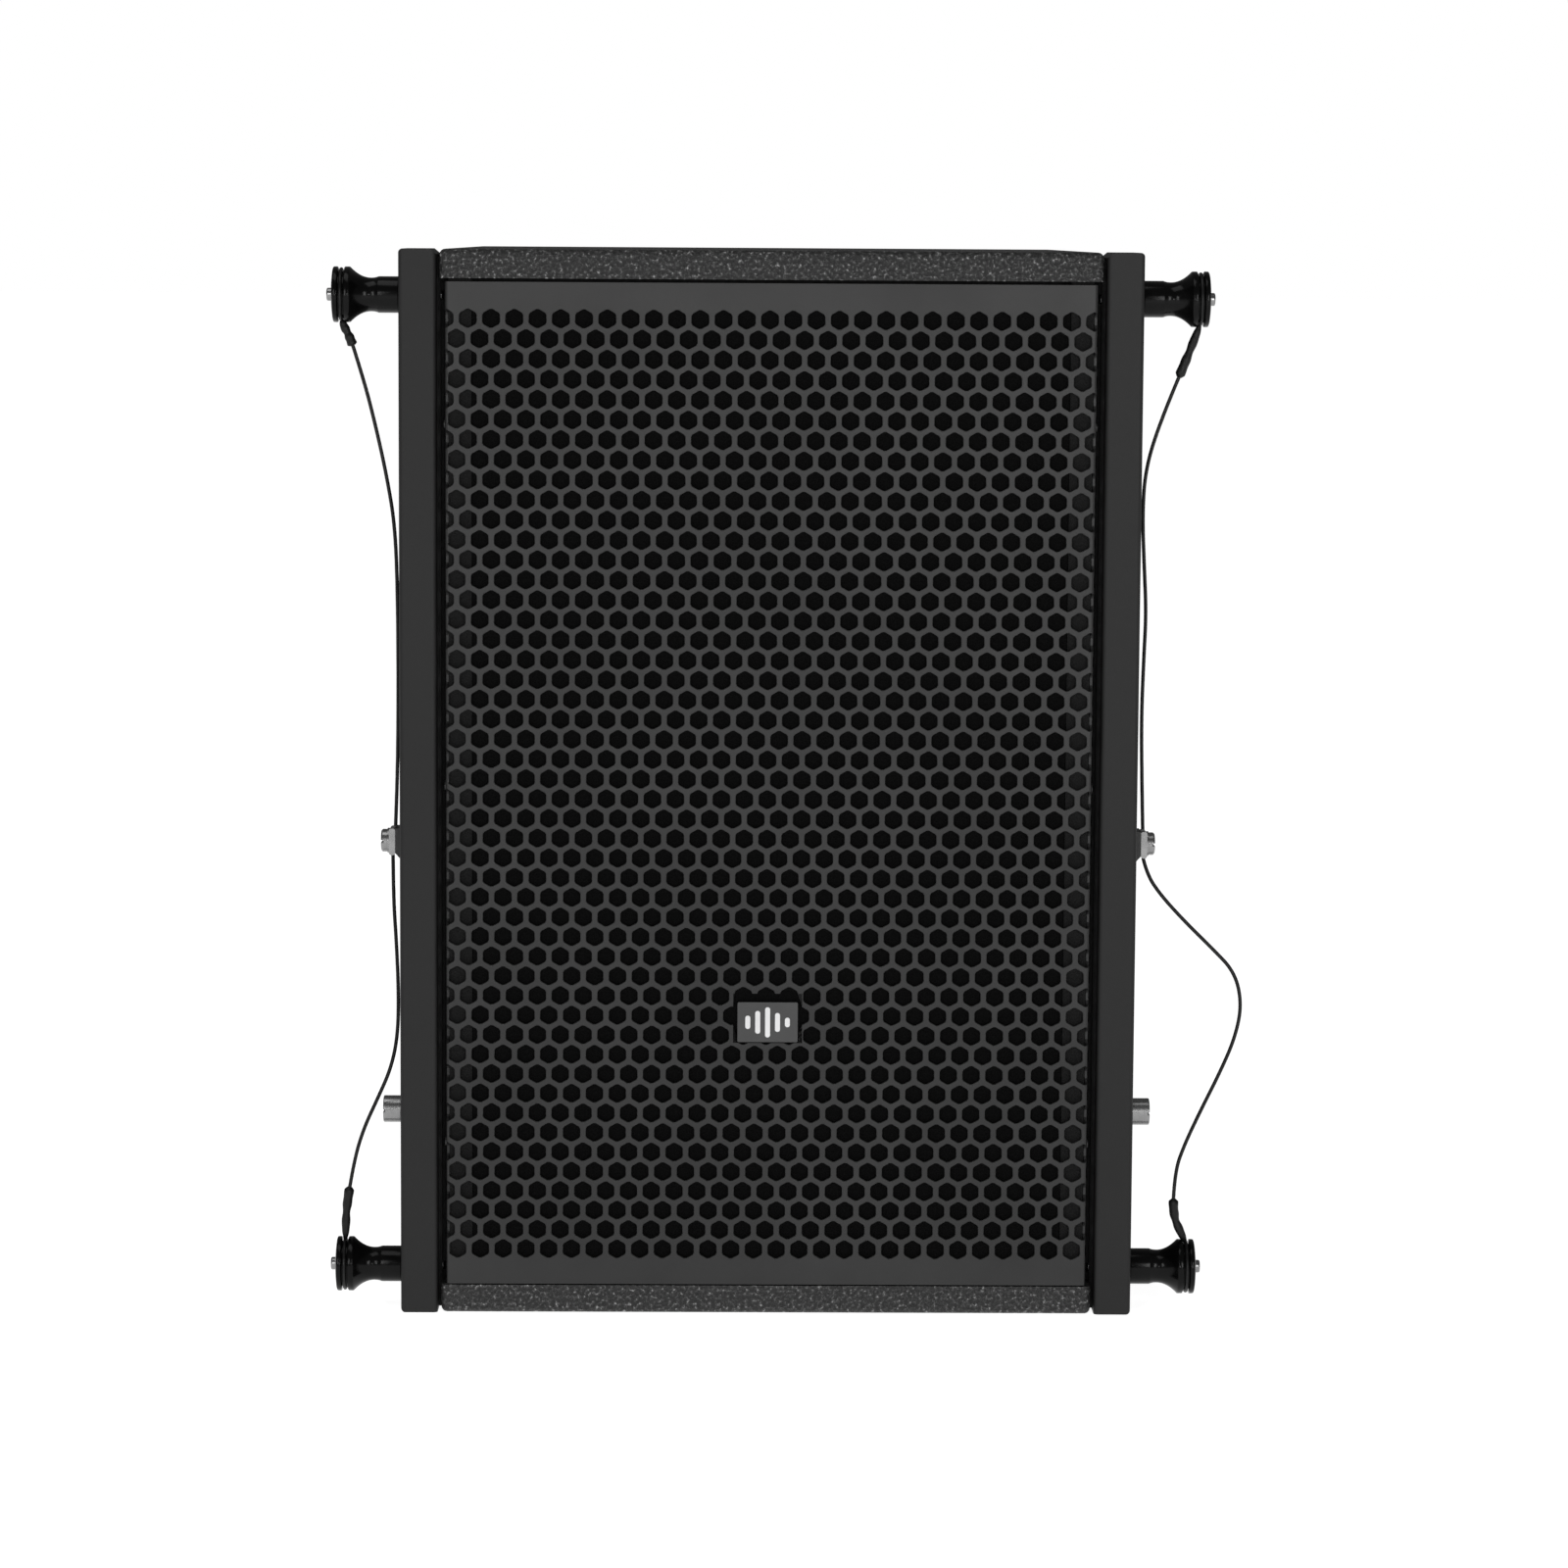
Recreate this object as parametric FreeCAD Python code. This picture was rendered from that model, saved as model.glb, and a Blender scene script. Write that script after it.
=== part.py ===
import FreeCAD, Part
import math
import os

# Compact line array loudspeaker, in millimetres.
# Origin: centre of the cabinet's underside.  +Z is up, the grille faces -Y.

V = FreeCAD.Vector

# ---------------------------------------------------------------- driving sizes
CAB_WIDTH = 343.0
CAB_DEPTH = 400.0
CAB_HEIGHT = 558.5
PLY = 15.0
FRONT = -CAB_DEPTH / 2
BACK = CAB_DEPTH / 2
SIDE_OUT = 170.0
SIDE_IN = SIDE_OUT - PLY
BAFFLE_FRONT = FRONT + 16.0
EDGE_ROUND = 3.0
TONGUE_OUT = 166.9

GRILLE_HALF = 168.7
GRILLE_LOW = 15.7
GRILLE_HIGH = 541.7
GRILLE_SHEET = 1.5
GRILLE_RETURN = 15.5

BADGE_X = 0.0
BADGE_Z = 155.9
BADGE_WIDTH = 31.6
BADGE_HEIGHT = 21.1

RAIL_IN = 173.4
RAIL_OUT = 192.8
RAIL_DEPTH = 48.0
RAIL_WALL = 5.5
CAVITY_DEPTH = 32.0
TOP_CAVITY = 60.0
BOTTOM_CAVITY = 132.0
PIN_Y = FRONT + 20.0
TOP_PIN_Z = CAB_HEIGHT - 24.0
BOTTOM_PIN_Z = 22.0
PIN_HOLE = 4.1
SHANK_RADIUS = 4.0
SHANK_TIP = 170.5
BUTTON_TRAVEL = 2.6

LINK_THICK = 8.0
LINK_WIDTH = 31.2
LINK_TRAVEL = (CAB_HEIGHT - TOP_PIN_Z) + BOTTOM_PIN_Z
STUD_Z = 105.5
STUD_HEAD = 7.1
STUD_REACH = 10.0

CLIP_Z = 249.0
CLIP_Y = FRONT + 18.0
CORD_RADIUS = 1.0
SLEEVE_RADIUS = 2.5
SLEEVE_GAP = 0.2
EYE_X = RAIL_OUT + 30.6
EYE_RADIUS = 13.2

WOOFER_Z = 172.0
WOOFER_FLANGE = 152.3
WOOFER_HOLE = 141.0
WOOFER_BOLTS = 146.0
WOOFER_SCREWS = 8
COIL_RADIUS = 32.5
HORN_Z = 433.0
HORN_WIDTH = 290.0
HORN_HEIGHT = 185.0

PIVOT_Y = BACK + 24.0
ARM_PIVOT_Z = TOP_PIN_Z
ARM_LENGTH = 90.0
ARM_HALF = 5.0
LOW_BRACKET_Z = 66.0
INPUT_Z = 215.0
SOCKET_GAP = 58.0

SIDES = {"left": -1, "right": 1}
RAIL_SCREW_Z = (152.0, 205.0, 330.0, 474.0)
RAIL_SCREW_Y = FRONT + 39.5
RAIL_NOTCH = 3.5
BAFFLE_Y = (BAFFLE_FRONT, BAFFLE_FRONT + PLY)

parts = {}


# ---------------------------------------------------------------- small helpers
def box(x, y, z):
    """A block between two values on each axis."""
    low = V(min(x), min(y), min(z))
    return Part.makeBox(abs(x[1] - x[0]), abs(y[1] - y[0]), abs(z[1] - z[0]), low)


def rod(radius, start, end):
    """A round bar from one point to another."""
    along = V(*end) - V(*start)
    return Part.makeCylinder(radius, along.Length, V(*start), along)


def tube(outer, inner, start, end):
    return rod(outer, start, end).cut(rod(inner, start, end))


def turned(profile, point, along, across):
    """A closed outline of (distance along, radius) pairs, turned round an axis."""
    rim = [point + along * a + across * r for a, r in profile]
    face = Part.Face(Part.makePolygon(rim + [rim[0]]))
    return face.revolve(point, along, 360)


def joined(shapes):
    whole = shapes[0].multiFuse(shapes[1:])
    return whole.removeSplitter()


def group(shapes):
    return Part.makeCompound(shapes)


def rounded(shape, radius, keep):
    """Round the straight edges that a test picks out."""
    edges = [e for e in shape.Edges if keep(e)]
    return shape.makeFillet(radius, edges)


def edge_runs(edge, axis):
    a = edge.Vertexes[0].Point
    b = edge.Vertexes[-1].Point
    span = b - a
    return abs(span[axis]) > 0.9 * span.Length


def mirrored(shape, side):
    """Right-hand shapes are drawn; the left-hand ones mirror them in X."""
    if side > 0:
        return shape
    return shape.mirror(V(0, 0, 0), V(1, 0, 0))


def countersunk_screw(head, x_out, x_in, y, z):
    """A countersunk screw along X with its head flush at x_out."""
    profile = [(0, 0), (0, head), (head - 3, 3), (x_out - x_in, 3), (x_out - x_in, 0)]
    return turned(profile, V(x_out, y, z), V(-1, 0, 0), V(0, 1, 0))


def cap_screw(radius, head, point, along, length, tall=3.0):
    """A round-headed screw: the head stands off the point, the shank goes along."""
    profile = [(-tall, 0), (-tall, head - 0.8), (-tall + 0.8, head), (0, head)]
    profile += [(0, radius), (length, radius), (length, 0)]
    across = V(0, 0, 1) if abs(along.z) < 0.5 else V(1, 0, 0)
    return turned(profile, point, along, across)


def routed_tube(points, radius, name):
    """A tube on straight runs joined by arcs as large as each pair of runs allows."""
    route = [V(*p) for p in points]
    edges = []
    last = route[0]
    length = 0.0
    tightest = 1e9
    for before, corner, after in zip(route, route[1:], route[2:]):
        come = (corner - before).normalize()
        leave = (after - corner).normalize()
        turn = come.getAngle(leave)
        shorter = min(before.distanceToPoint(corner), corner.distanceToPoint(after))
        setback = 0.45 * shorter
        bend = setback / math.tan(turn / 2)
        tightest = min(tightest, bend)
        start = corner - come * setback
        end = corner + leave * setback
        half = (leave - come).normalize()
        middle = corner + half * (bend / math.cos(turn / 2) - bend)
        edges.append(Part.LineSegment(last, start).toShape())
        edges.append(Part.Arc(start, middle, end).toShape())
        length += last.distanceToPoint(start) + bend * turn
        last = end
    edges.append(Part.LineSegment(last, route[-1]).toShape())
    length += last.distanceToPoint(route[-1])
    path = Part.Wire(edges)
    ring = Part.Wire(Part.makeCircle(radius, route[0], route[1] - route[0]))
    solid = path.makePipeShell([ring], True, False)
    expected = math.pi * radius * radius * length
    print(name, "length", round(length, 1), "tightest bend", round(tightest, 1),
          "volume ratio", round(solid.Volume / expected, 4))
    return solid


# ---------------------------------------------------------------- wooden cabinet
def lid(z):
    """Top and bottom boards: full-width plywood with rounded outer edges."""
    half = CAB_WIDTH / 2
    board = box((-half, half), (FRONT, BACK), z)
    board = rounded(board, EDGE_ROUND, lambda e: edge_runs(e, 1))
    return board


def side_board(side):
    """A side board, with a tongue at the front that the grille's fold wraps."""
    x = (side * SIDE_IN, side * SIDE_OUT)
    z = (PLY, CAB_HEIGHT - PLY)
    board = box(x, (BAFFLE_FRONT, BACK), z)
    tongue = box((side * SIDE_IN, side * TONGUE_OUT), (FRONT + 2.5, BAFFLE_FRONT), z)
    board = joined([board, tongue])
    board = board.cut(mirrored(handle_block(0.4), side))
    for z_screw in RAIL_SCREW_Z:
        board = board.cut(rod(3.1, (side * 140, RAIL_SCREW_Y, z_screw), (side * 180, RAIL_SCREW_Y, z_screw)))
    for screw in grille_screws(0.1):
        board = board.cut(screw)
    return board


HANDLE_Y = (20.0, 160.0)
HANDLE_Z = (235.0, 345.0)
HANDLE_CUP = 48.0


def handle_block(slack):
    y = (HANDLE_Y[0] - slack, HANDLE_Y[1] + slack)
    z = (HANDLE_Z[0] - slack, HANDLE_Z[1] + slack)
    return box((SIDE_OUT - HANDLE_CUP - 1, SIDE_OUT + 5), y, z)


def side_handle(side):
    """A moulded cup handle: the fingers go in at the mouth and up behind the lip."""
    wall = 3.0
    cup = box((SIDE_OUT - HANDLE_CUP, SIDE_OUT), HANDLE_Y, HANDLE_Z)
    hollow = box((SIDE_OUT - HANDLE_CUP + wall, SIDE_OUT - wall),
                 (HANDLE_Y[0] + wall, HANDLE_Y[1] - wall),
                 (HANDLE_Z[0] + wall, HANDLE_Z[1] - wall))
    flange = box((SIDE_OUT, SIDE_OUT + 2.5), (HANDLE_Y[0] - 11, HANDLE_Y[1] + 11),
                 (HANDLE_Z[0] - 11, HANDLE_Z[1] + 11))
    flange = rounded(flange, 8.0, lambda e: edge_runs(e, 0))
    mouth = box((SIDE_OUT - wall - 1, SIDE_OUT + 4), (HANDLE_Y[0] + wall, HANDLE_Y[1] - wall),
                (HANDLE_Z[0] + wall, HANDLE_Z[0] + 62))
    mouth = rounded(mouth, 6.0, lambda e: edge_runs(e, 0))
    whole = joined([cup, flange]).cut(hollow).cut(mouth)
    return mirrored(whole, side)


INPUT_HALF = 80.0
INPUT_TALL = 55.0


def back_board():
    board = box((-SIDE_IN, SIDE_IN), (BACK - PLY, BACK), (PLY, CAB_HEIGHT - PLY))
    opening = box((-INPUT_HALF + 10, INPUT_HALF - 10), (BACK - 20, BACK + 1),
                  (INPUT_Z - INPUT_TALL + 10, INPUT_Z + INPUT_TALL - 10))
    board = board.cut(opening)
    for screw in rear_screw_list(0.1):
        board = board.cut(screw)
    return board


def front_baffle():
    """The board that carries the woofer and the horn."""
    board = box((-SIDE_IN, SIDE_IN), BAFFLE_Y, (PLY, CAB_HEIGHT - PLY))
    board = board.cut(rod(WOOFER_HOLE, (0, BAFFLE_FRONT - 1, WOOFER_Z), (0, BAFFLE_Y[1] + 1, WOOFER_Z)))
    mouth = box((-HORN_WIDTH / 2 + 15, HORN_WIDTH / 2 - 15), (BAFFLE_FRONT - 1, BAFFLE_Y[1] + 1),
                (HORN_Z - HORN_HEIGHT / 2 + 15, HORN_Z + HORN_HEIGHT / 2 - 15))
    board = board.cut(mouth)
    for screw in baffle_screw_list(0.1):
        board = board.cut(screw)
    return board


# ---------------------------------------------------------------- grille and badge
def grille():
    """A pressed steel pan: a flat face folded back down both sides, with a badge window.

    The face is drawn as plain sheet: its hexagonal perforation is left out of the solid.
    """
    inner = GRILLE_HALF - GRILLE_SHEET
    z = (GRILLE_LOW, GRILLE_HIGH)
    pan = box((-GRILLE_HALF, GRILLE_HALF), (FRONT, FRONT + GRILLE_RETURN), z)
    inside_y = (FRONT + GRILLE_SHEET, FRONT + GRILLE_RETURN + 1)
    pan = pan.cut(box((-inner, inner), inside_y, (z[0] - 1, z[1] + 1)))
    half = BADGE_WIDTH / 2 + 2.2
    window = box((-half, half), (FRONT - 1, FRONT + 3),
                 (BADGE_Z - BADGE_HEIGHT / 2 - 1, BADGE_Z + BADGE_HEIGHT / 2 + 4))
    pan = pan.cut(window)
    for screw in grille_screws(0.1):
        pan = pan.cut(screw)
    return pan


def grille_screws(slack=0.0):
    """Small screws through the grille's folded sides into the side boards."""
    screws = []
    for s in (-1, 1):
        for z in (90.0, 279.0, 468.0):
            start = V(s * (GRILLE_HALF + 0.1), FRONT + 10, z)
            screws.append(cap_screw(1.5 + slack, 2.8, start, V(-s, 0, 0), 10 + 3 * slack, 1.6))
    return screws


def badge_plate():
    plate = box((BADGE_X - BADGE_WIDTH / 2, BADGE_X + BADGE_WIDTH / 2), (FRONT - 0.3, FRONT + 1.3),
                (BADGE_Z - BADGE_HEIGHT / 2, BADGE_Z + BADGE_HEIGHT / 2))
    return rounded(plate, 0.8, lambda e: edge_runs(e, 1))


def badge_mark():
    """Five rounded bars of different heights, like a level display."""
    bars = []
    for k, tall in enumerate((7.0, 12.0, 16.0, 10.0, 5.0)):
        x = BADGE_X + (k - 2) * 5.2
        bar = box((x - 1.3, x + 1.3), (FRONT - 0.7, FRONT - 0.3), (BADGE_Z - tall / 2, BADGE_Z + tall / 2))
        bars.append(rounded(bar, 1.25, lambda e: edge_runs(e, 1)))
    return group(bars)


# ---------------------------------------------------------------- rigging rails
def rail(side):
    """A front rail: solid in the middle, hollow at both ends for the links."""
    body = box((RAIL_IN, RAIL_OUT), (FRONT, FRONT + RAIL_DEPTH), (0, CAB_HEIGHT))
    body = rounded(body, 2.4, lambda e: edge_runs(e, 2) or edge_runs(e, 1) and e.BoundBox.XMin > 180)
    notch = Part.Face(Part.makePolygon([
        V(RAIL_IN - 1, FRONT - 1, CAB_HEIGHT - RAIL_NOTCH), V(RAIL_IN + 4.5, FRONT - 1, CAB_HEIGHT + 1),
        V(RAIL_IN - 1, FRONT - 1, CAB_HEIGHT + 1), V(RAIL_IN - 1, FRONT - 1, CAB_HEIGHT - RAIL_NOTCH)]))
    body = body.cut(notch.extrude(V(0, RAIL_DEPTH + 2, 0)))
    hollow_x = (RAIL_IN + RAIL_WALL, RAIL_IN + RAIL_WALL + LINK_THICK + 0.4)
    hollow_y = (PIN_Y - CAVITY_DEPTH / 2, PIN_Y + CAVITY_DEPTH / 2)
    body = body.cut(box(hollow_x, hollow_y, (CAB_HEIGHT - TOP_CAVITY, CAB_HEIGHT + 1)))
    body = body.cut(box(hollow_x, hollow_y, (-1, BOTTOM_CAVITY)))
    for z in (TOP_PIN_Z, BOTTOM_PIN_Z):
        body = body.cut(rod(PIN_HOLE, (RAIL_IN - 1, PIN_Y, z), (RAIL_OUT + 1, PIN_Y, z)))
    slot_x = (hollow_x[1] - 1, RAIL_OUT + 1)
    slot = box(slot_x, (PIN_Y - 4.3, PIN_Y + 4.3), (STUD_Z - LINK_TRAVEL, STUD_Z))
    ends = [rod(4.3, (slot_x[0], PIN_Y, z), (slot_x[1], PIN_Y, z)) for z in (STUD_Z - LINK_TRAVEL, STUD_Z)]
    body = body.cut(joined([slot] + ends))
    for z in RAIL_SCREW_Z:
        body = body.cut(countersunk_screw(6.1, RAIL_OUT, RAIL_IN - 1, RAIL_SCREW_Y, z))
        body = body.cut(rod(3.1, (RAIL_IN - 1, RAIL_SCREW_Y, z), (RAIL_OUT, RAIL_SCREW_Y, z)))
    body = body.cut(rod(3.05, (RAIL_OUT - 12, CLIP_Y, CLIP_Z), (RAIL_OUT + 1, CLIP_Y, CLIP_Z)))
    return mirrored(body, side)


def rail_screws():
    """Countersunk screws through each rail, its packing strip and the side board."""
    screws = []
    for side in SIDES.values():
        for z in RAIL_SCREW_Z:
            screw = countersunk_screw(5.9, RAIL_OUT - 0.2, SIDE_IN - 6, RAIL_SCREW_Y, z)
            screws.append(mirrored(screw, side))
    return group(screws)


def rail_packer(side):
    """A black strip that fills the gap between the rail and the cabinet's side."""
    y = (FRONT + 12, FRONT + RAIL_DEPTH - 3)
    edge = box((CAB_WIDTH / 2, RAIL_IN), y, (1.0, CAB_HEIGHT - RAIL_NOTCH - 1.0))
    pad = box((SIDE_OUT, RAIL_IN), (BAFFLE_FRONT, y[1]), (PLY, CAB_HEIGHT - PLY))
    strip = joined([edge, pad])
    for z in RAIL_SCREW_Z:
        strip = strip.cut(rod(3.2, (SIDE_OUT - 1, RAIL_SCREW_Y, z), (RAIL_IN + 1, RAIL_SCREW_Y, z)))
    for z in (TOP_PIN_Z, BOTTOM_PIN_Z):
        strip = strip.cut(rod(PIN_HOLE + 0.5, (SIDE_OUT - 1, PIN_Y, z), (RAIL_IN + 1, PIN_Y, z)))
    return mirrored(strip, side)


def rail_nuts():
    """Flanged nuts inside the cabinet, one on the end of each rail screw."""
    nuts = []
    for s in SIDES.values():
        for z in RAIL_SCREW_Z:
            y = RAIL_SCREW_Y
            washer = tube(8, 3.1, (s * SIDE_IN, y, z), (s * (SIDE_IN - 1.5), y, z))
            body = tube(5.2, 3.1, (s * (SIDE_IN - 1.5), y, z), (s * (SIDE_IN - 6), y, z))
            nuts.append(joined([washer, body]))
    return group(nuts)


def link(side):
    """A sliding link bar with a long slot, so that it can drop past its pin."""
    x = (RAIL_IN + RAIL_WALL + 0.2, RAIL_IN + RAIL_WALL + 0.2 + LINK_THICK)
    half = LINK_WIDTH / 2
    bar = box(x, (PIN_Y - half, PIN_Y + half), (2.0, BOTTOM_CAVITY - 5))
    bar = rounded(bar, 7.0, lambda e: edge_runs(e, 0))
    slot = box((x[0] - 1, x[1] + 1), (PIN_Y - 4.3, PIN_Y + 4.3), (BOTTOM_PIN_Z, BOTTOM_PIN_Z + LINK_TRAVEL))
    ends = [rod(4.3, (x[0] - 1, PIN_Y, z), (x[1] + 1, PIN_Y, z))
            for z in (BOTTOM_PIN_Z, BOTTOM_PIN_Z + LINK_TRAVEL)]
    bar = bar.cut(joined([slot] + ends))
    bar = bar.cut(rod(3.1, (x[0] - 1, PIN_Y, STUD_Z), (x[1] + 1, PIN_Y, STUD_Z)))
    return mirrored(bar, side)


def link_stud(side):
    """The clamp screw that slides with the link and carries a coin slot."""
    inside = RAIL_IN + RAIL_WALL + 1
    neck = rod(3.9, (RAIL_IN + RAIL_WALL + LINK_THICK + 0.3, PIN_Y, STUD_Z), (RAIL_OUT + 1, PIN_Y, STUD_Z))
    thread = rod(3.05, (inside, PIN_Y, STUD_Z), (RAIL_OUT, PIN_Y, STUD_Z))
    head = rod(STUD_HEAD, (RAIL_OUT + 0.3, PIN_Y, STUD_Z), (RAIL_OUT + STUD_REACH, PIN_Y, STUD_Z))
    head = head.makeFillet(0.6, head.Edges)
    slot = box((RAIL_OUT + STUD_REACH - 1.2, RAIL_OUT + STUD_REACH + 1), (PIN_Y - 10, PIN_Y + 10),
               (STUD_Z - 0.8, STUD_Z + 0.8))
    return mirrored(joined([neck, thread, head]).cut(slot), side)


# ---------------------------------------------------------------- quick-release pins
def pin_handle(side, z):
    """A flared grip: barrel at the rail, waist, and two discs with a groove between."""
    start = RAIL_OUT + 0.3
    bore = 3.45
    profile = [(0, 4.0), (0, 8.9), (0.7, 9.5), (11.0, 9.5), (13.0, 9.0), (15.0, 8.75), (17.0, 9.0)]
    profile += [(19.5, 9.9), (22.0, 11.3), (24.0, 12.8), (25.7, 14.3), (28.6, 14.4), (28.6, 12.0)]
    profile += [(31.9, 12.0), (31.9, 14.5), (34.3, 14.5), (35.1, 9.0), (35.3, bore), (26.0, bore), (26.0, 4.0)]
    grip = turned(profile, V(start, PIN_Y, z), V(1, 0, 0), V(0, 0, 1))
    return mirrored(grip, side)


def pin_shank(side, z):
    """The locking shank, from the tip behind the rail to inside the grip."""
    shank = rod(SHANK_RADIUS, (SHANK_TIP, PIN_Y, z), (RAIL_OUT + 26.3, PIN_Y, z))
    shank = shank.makeChamfer(0.8, [e for e in shank.Edges if e.BoundBox.XMax < SHANK_TIP + 0.1])
    return mirrored(shank, side)


def pin_button(side, z):
    """The release button in the end of the grip."""
    start = RAIL_OUT + 26.3 + BUTTON_TRAVEL + 0.3
    end = RAIL_OUT + 38.4
    button = rod(3.38, (start, PIN_Y, z), (end, PIN_Y, z))
    button = button.makeChamfer(0.6, [e for e in button.Edges if e.BoundBox.XMin > end - 0.1])
    return mirrored(button, side)


def pin_eye(side, z, route, name):
    """The lanyard's eye in the groove of the grip, and the crimped sleeve below it."""
    centre = V(side * EYE_X, PIN_Y, z)
    ring = Part.makeTorus(EYE_RADIUS, 1.0, centre, V(1, 0, 0))
    start = V(*route[0])
    start = start + (V(*route[1]) - start).normalize() * SLEEVE_GAP
    sleeve = routed_tube([tuple(start)] + route[1:], SLEEVE_RADIUS, name)
    toward = V(0, 0, 1) if route[-1][2] < z else V(0, 0, -1)
    foot = V(side * EYE_X, PIN_Y, z) - toward * (EYE_RADIUS - 0.4)
    last = V(*route[-1])
    inward = (last - V(*route[-2])).normalize()
    tail = rod(1.2, tuple(last - inward * 3.0), tuple(foot))
    return joined([ring, sleeve, tail])


# ---------------------------------------------------------------- lanyards
# Each route runs from the clip on the rail to the sleeve at its pin.
LANYARDS = {
    "top_left": [
        (-196.0, -182.0, 256.6), (-194.9, -180.5, 286.0), (-194.6, -178.8, 330.0),
        (-194.7, -179.6, 376.0), (-195.8, -181.3, 414.0), (-200.2, -181.8, 441.0),
        (-206.2, -181.0, 468.0), (-211.9, -180.3, 490.0), (-217.6, -180.0, 508.0)],
    "top_right": [
        (197.2, -182.0, 256.6), (196.4, -181.2, 284.0), (195.8, -180.4, 316.0),
        (196.6, -180.0, 346.0), (197.5, -180.6, 371.0), (196.0, -181.3, 396.0),
        (194.7, -181.7, 422.0), (195.9, -181.3, 446.0), (203.4, -180.4, 471.0),
        (212.8, -180.0, 494.0)],
    "bottom_left": [
        (-197.4, -182.0, 241.4), (-197.3, -181.5, 218.0), (-195.7, -182.0, 194.0),
        (-194.6, -183.5, 168.0), (-194.9, -186.0, 146.0), (-198.2, -189.0, 129.0),
        (-205.2, -190.4, 113.0), (-212.6, -187.6, 97.0), (-218.0, -183.6, 80.0),
        (-220.9, -181.5, 63.5)],
    "bottom_right": [
        (197.6, -182.0, 241.4), (199.8, -182.6, 232.6), (207.0, -184.0, 222.0),
        (219.5, -186.0, 208.5), (234.0, -188.0, 194.5), (246.2, -189.5, 182.0),
        (250.2, -190.0, 165.0), (247.0, -189.5, 147.0), (239.4, -188.0, 128.0),
        (230.0, -186.5, 108.0), (221.6, -184.2, 88.5), (217.0, -181.6, 73.5),
        (216.6, -180.6, 58.5)]}
SLEEVES = {
    "top_left": [(-217.6, -180.0, 508.0), (-219.6, -180.0, 513.4), (-222.4, -180.0, 518.4)],
    "top_right": [(212.8, -180.0, 494.0), (217.5, -179.8, 505.6), (222.3, -179.9, 518.2)],
    "bottom_left": [(-220.9, -181.5, 63.5), (-222.8, -180.1, 52.8), (-223.3, -180.0, 38.6)],
    "bottom_right": [(216.6, -180.6, 58.5), (216.5, -180.0, 49.5), (221.4, -180.0, 38.8)]}


def clip_block(side):
    """The moulded block on the rail; its lower end is sloped."""
    z = (CLIP_Z - 8.4, CLIP_Z + 7.2)
    block = box((RAIL_OUT, RAIL_OUT + 3.0), (CLIP_Y - 8, CLIP_Y + 8), z)
    slope = Part.Face(Part.makePolygon([
        V(RAIL_OUT + 3.5, CLIP_Y - 9, z[0] + 3.2), V(RAIL_OUT + 3.5, CLIP_Y - 9, z[0] - 1),
        V(RAIL_OUT - 0.2, CLIP_Y - 9, z[0] - 1), V(RAIL_OUT + 3.5, CLIP_Y - 9, z[0] + 3.2)]))
    block = block.cut(slope.extrude(V(0, 18, 0)))
    block = block.cut(rod(3.2, (RAIL_OUT - 1, CLIP_Y, CLIP_Z), (RAIL_OUT + 4, CLIP_Y, CLIP_Z)))
    return mirrored(block, side)


def lanyard_clip(side):
    """The metal clip that holds both lanyards, with a washer on top."""
    x = RAIL_OUT + 3.0
    band = box((x, x + 3.3), (CLIP_Y - 7, CLIP_Y + 7), (CLIP_Z - 7.0, CLIP_Z + 7.0))
    band = rounded(band, 1.2, lambda e: edge_runs(e, 1))
    washer = rod(6.6, (x + 3.3, CLIP_Y, CLIP_Z), (x + 4.3, CLIP_Y, CLIP_Z))
    whole = joined([band, washer])
    whole = whole.cut(rod(3.2, (x - 1, CLIP_Y, CLIP_Z), (x + 6, CLIP_Y, CLIP_Z)))
    return mirrored(whole, side)


def clip_screw(side):
    """A slotted pan-head screw into the rail."""
    x = RAIL_OUT + 7.4
    screw = cap_screw(2.95, 6.0, V(x, CLIP_Y, CLIP_Z), V(-1, 0, 0), 17.0, 3.2)
    slot = box((x + 1.7, x + 5), (CLIP_Y - 9, CLIP_Y + 9), (CLIP_Z - 0.8, CLIP_Z + 0.8))
    return mirrored(screw.cut(slot), side)


# ---------------------------------------------------------------- drivers
def woofer_turned(profile):
    """Outlines of (y, radius) pairs turned round the woofer's axis."""
    return turned(profile, V(0, 0, WOOFER_Z), V(0, 1, 0), V(1, 0, 0))


FLANGE_Y = (BAFFLE_FRONT - 4.5, BAFFLE_FRONT)


def woofer_basket():
    """A cast frame: mounting flange, six spokes and the seat for the magnet."""
    front, seat = FLANGE_Y
    shell = [(front, 137), (front, WOOFER_FLANGE), (seat, WOOFER_FLANGE), (seat, 140),
             (seat + 12, 140), (-104, 78), (-92, 78), (-92, 45), (-95, 45), (-95, 74),
             (-106, 74), (seat + 10, 136.5)]
    basket = woofer_turned(shell)
    for k in range(6):
        window = box((-24, 24), (-158, -112), (60, 150))
        window.rotate(V(0, 0, 0), V(0, 1, 0), 60 * k + 30)
        window.translate(V(0, 0, WOOFER_Z))
        basket = basket.cut(window)
    for screw in baffle_screw_list(0.1):
        basket = basket.cut(screw)
    return basket


def woofer_magnet():
    """Top plate, magnet ring and pole piece, with the gap for the voice coil."""
    outline = [(-92, 33.8), (-92, 78), (-84, 78), (-84, 85), (-62, 85), (-62, 78), (-54, 78), (-54, 0),
               (-90, 0), (-90, 31.2), (-64, 31.2), (-64, 33.8)]
    return woofer_turned(outline)


def woofer_cone():
    outline = [(-118, 33.4), (-176, 119.5), (-174.6, 120.6), (-116.4, 34.6), (-112, 34.6), (-112, 33.4)]
    return woofer_turned(outline)


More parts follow.
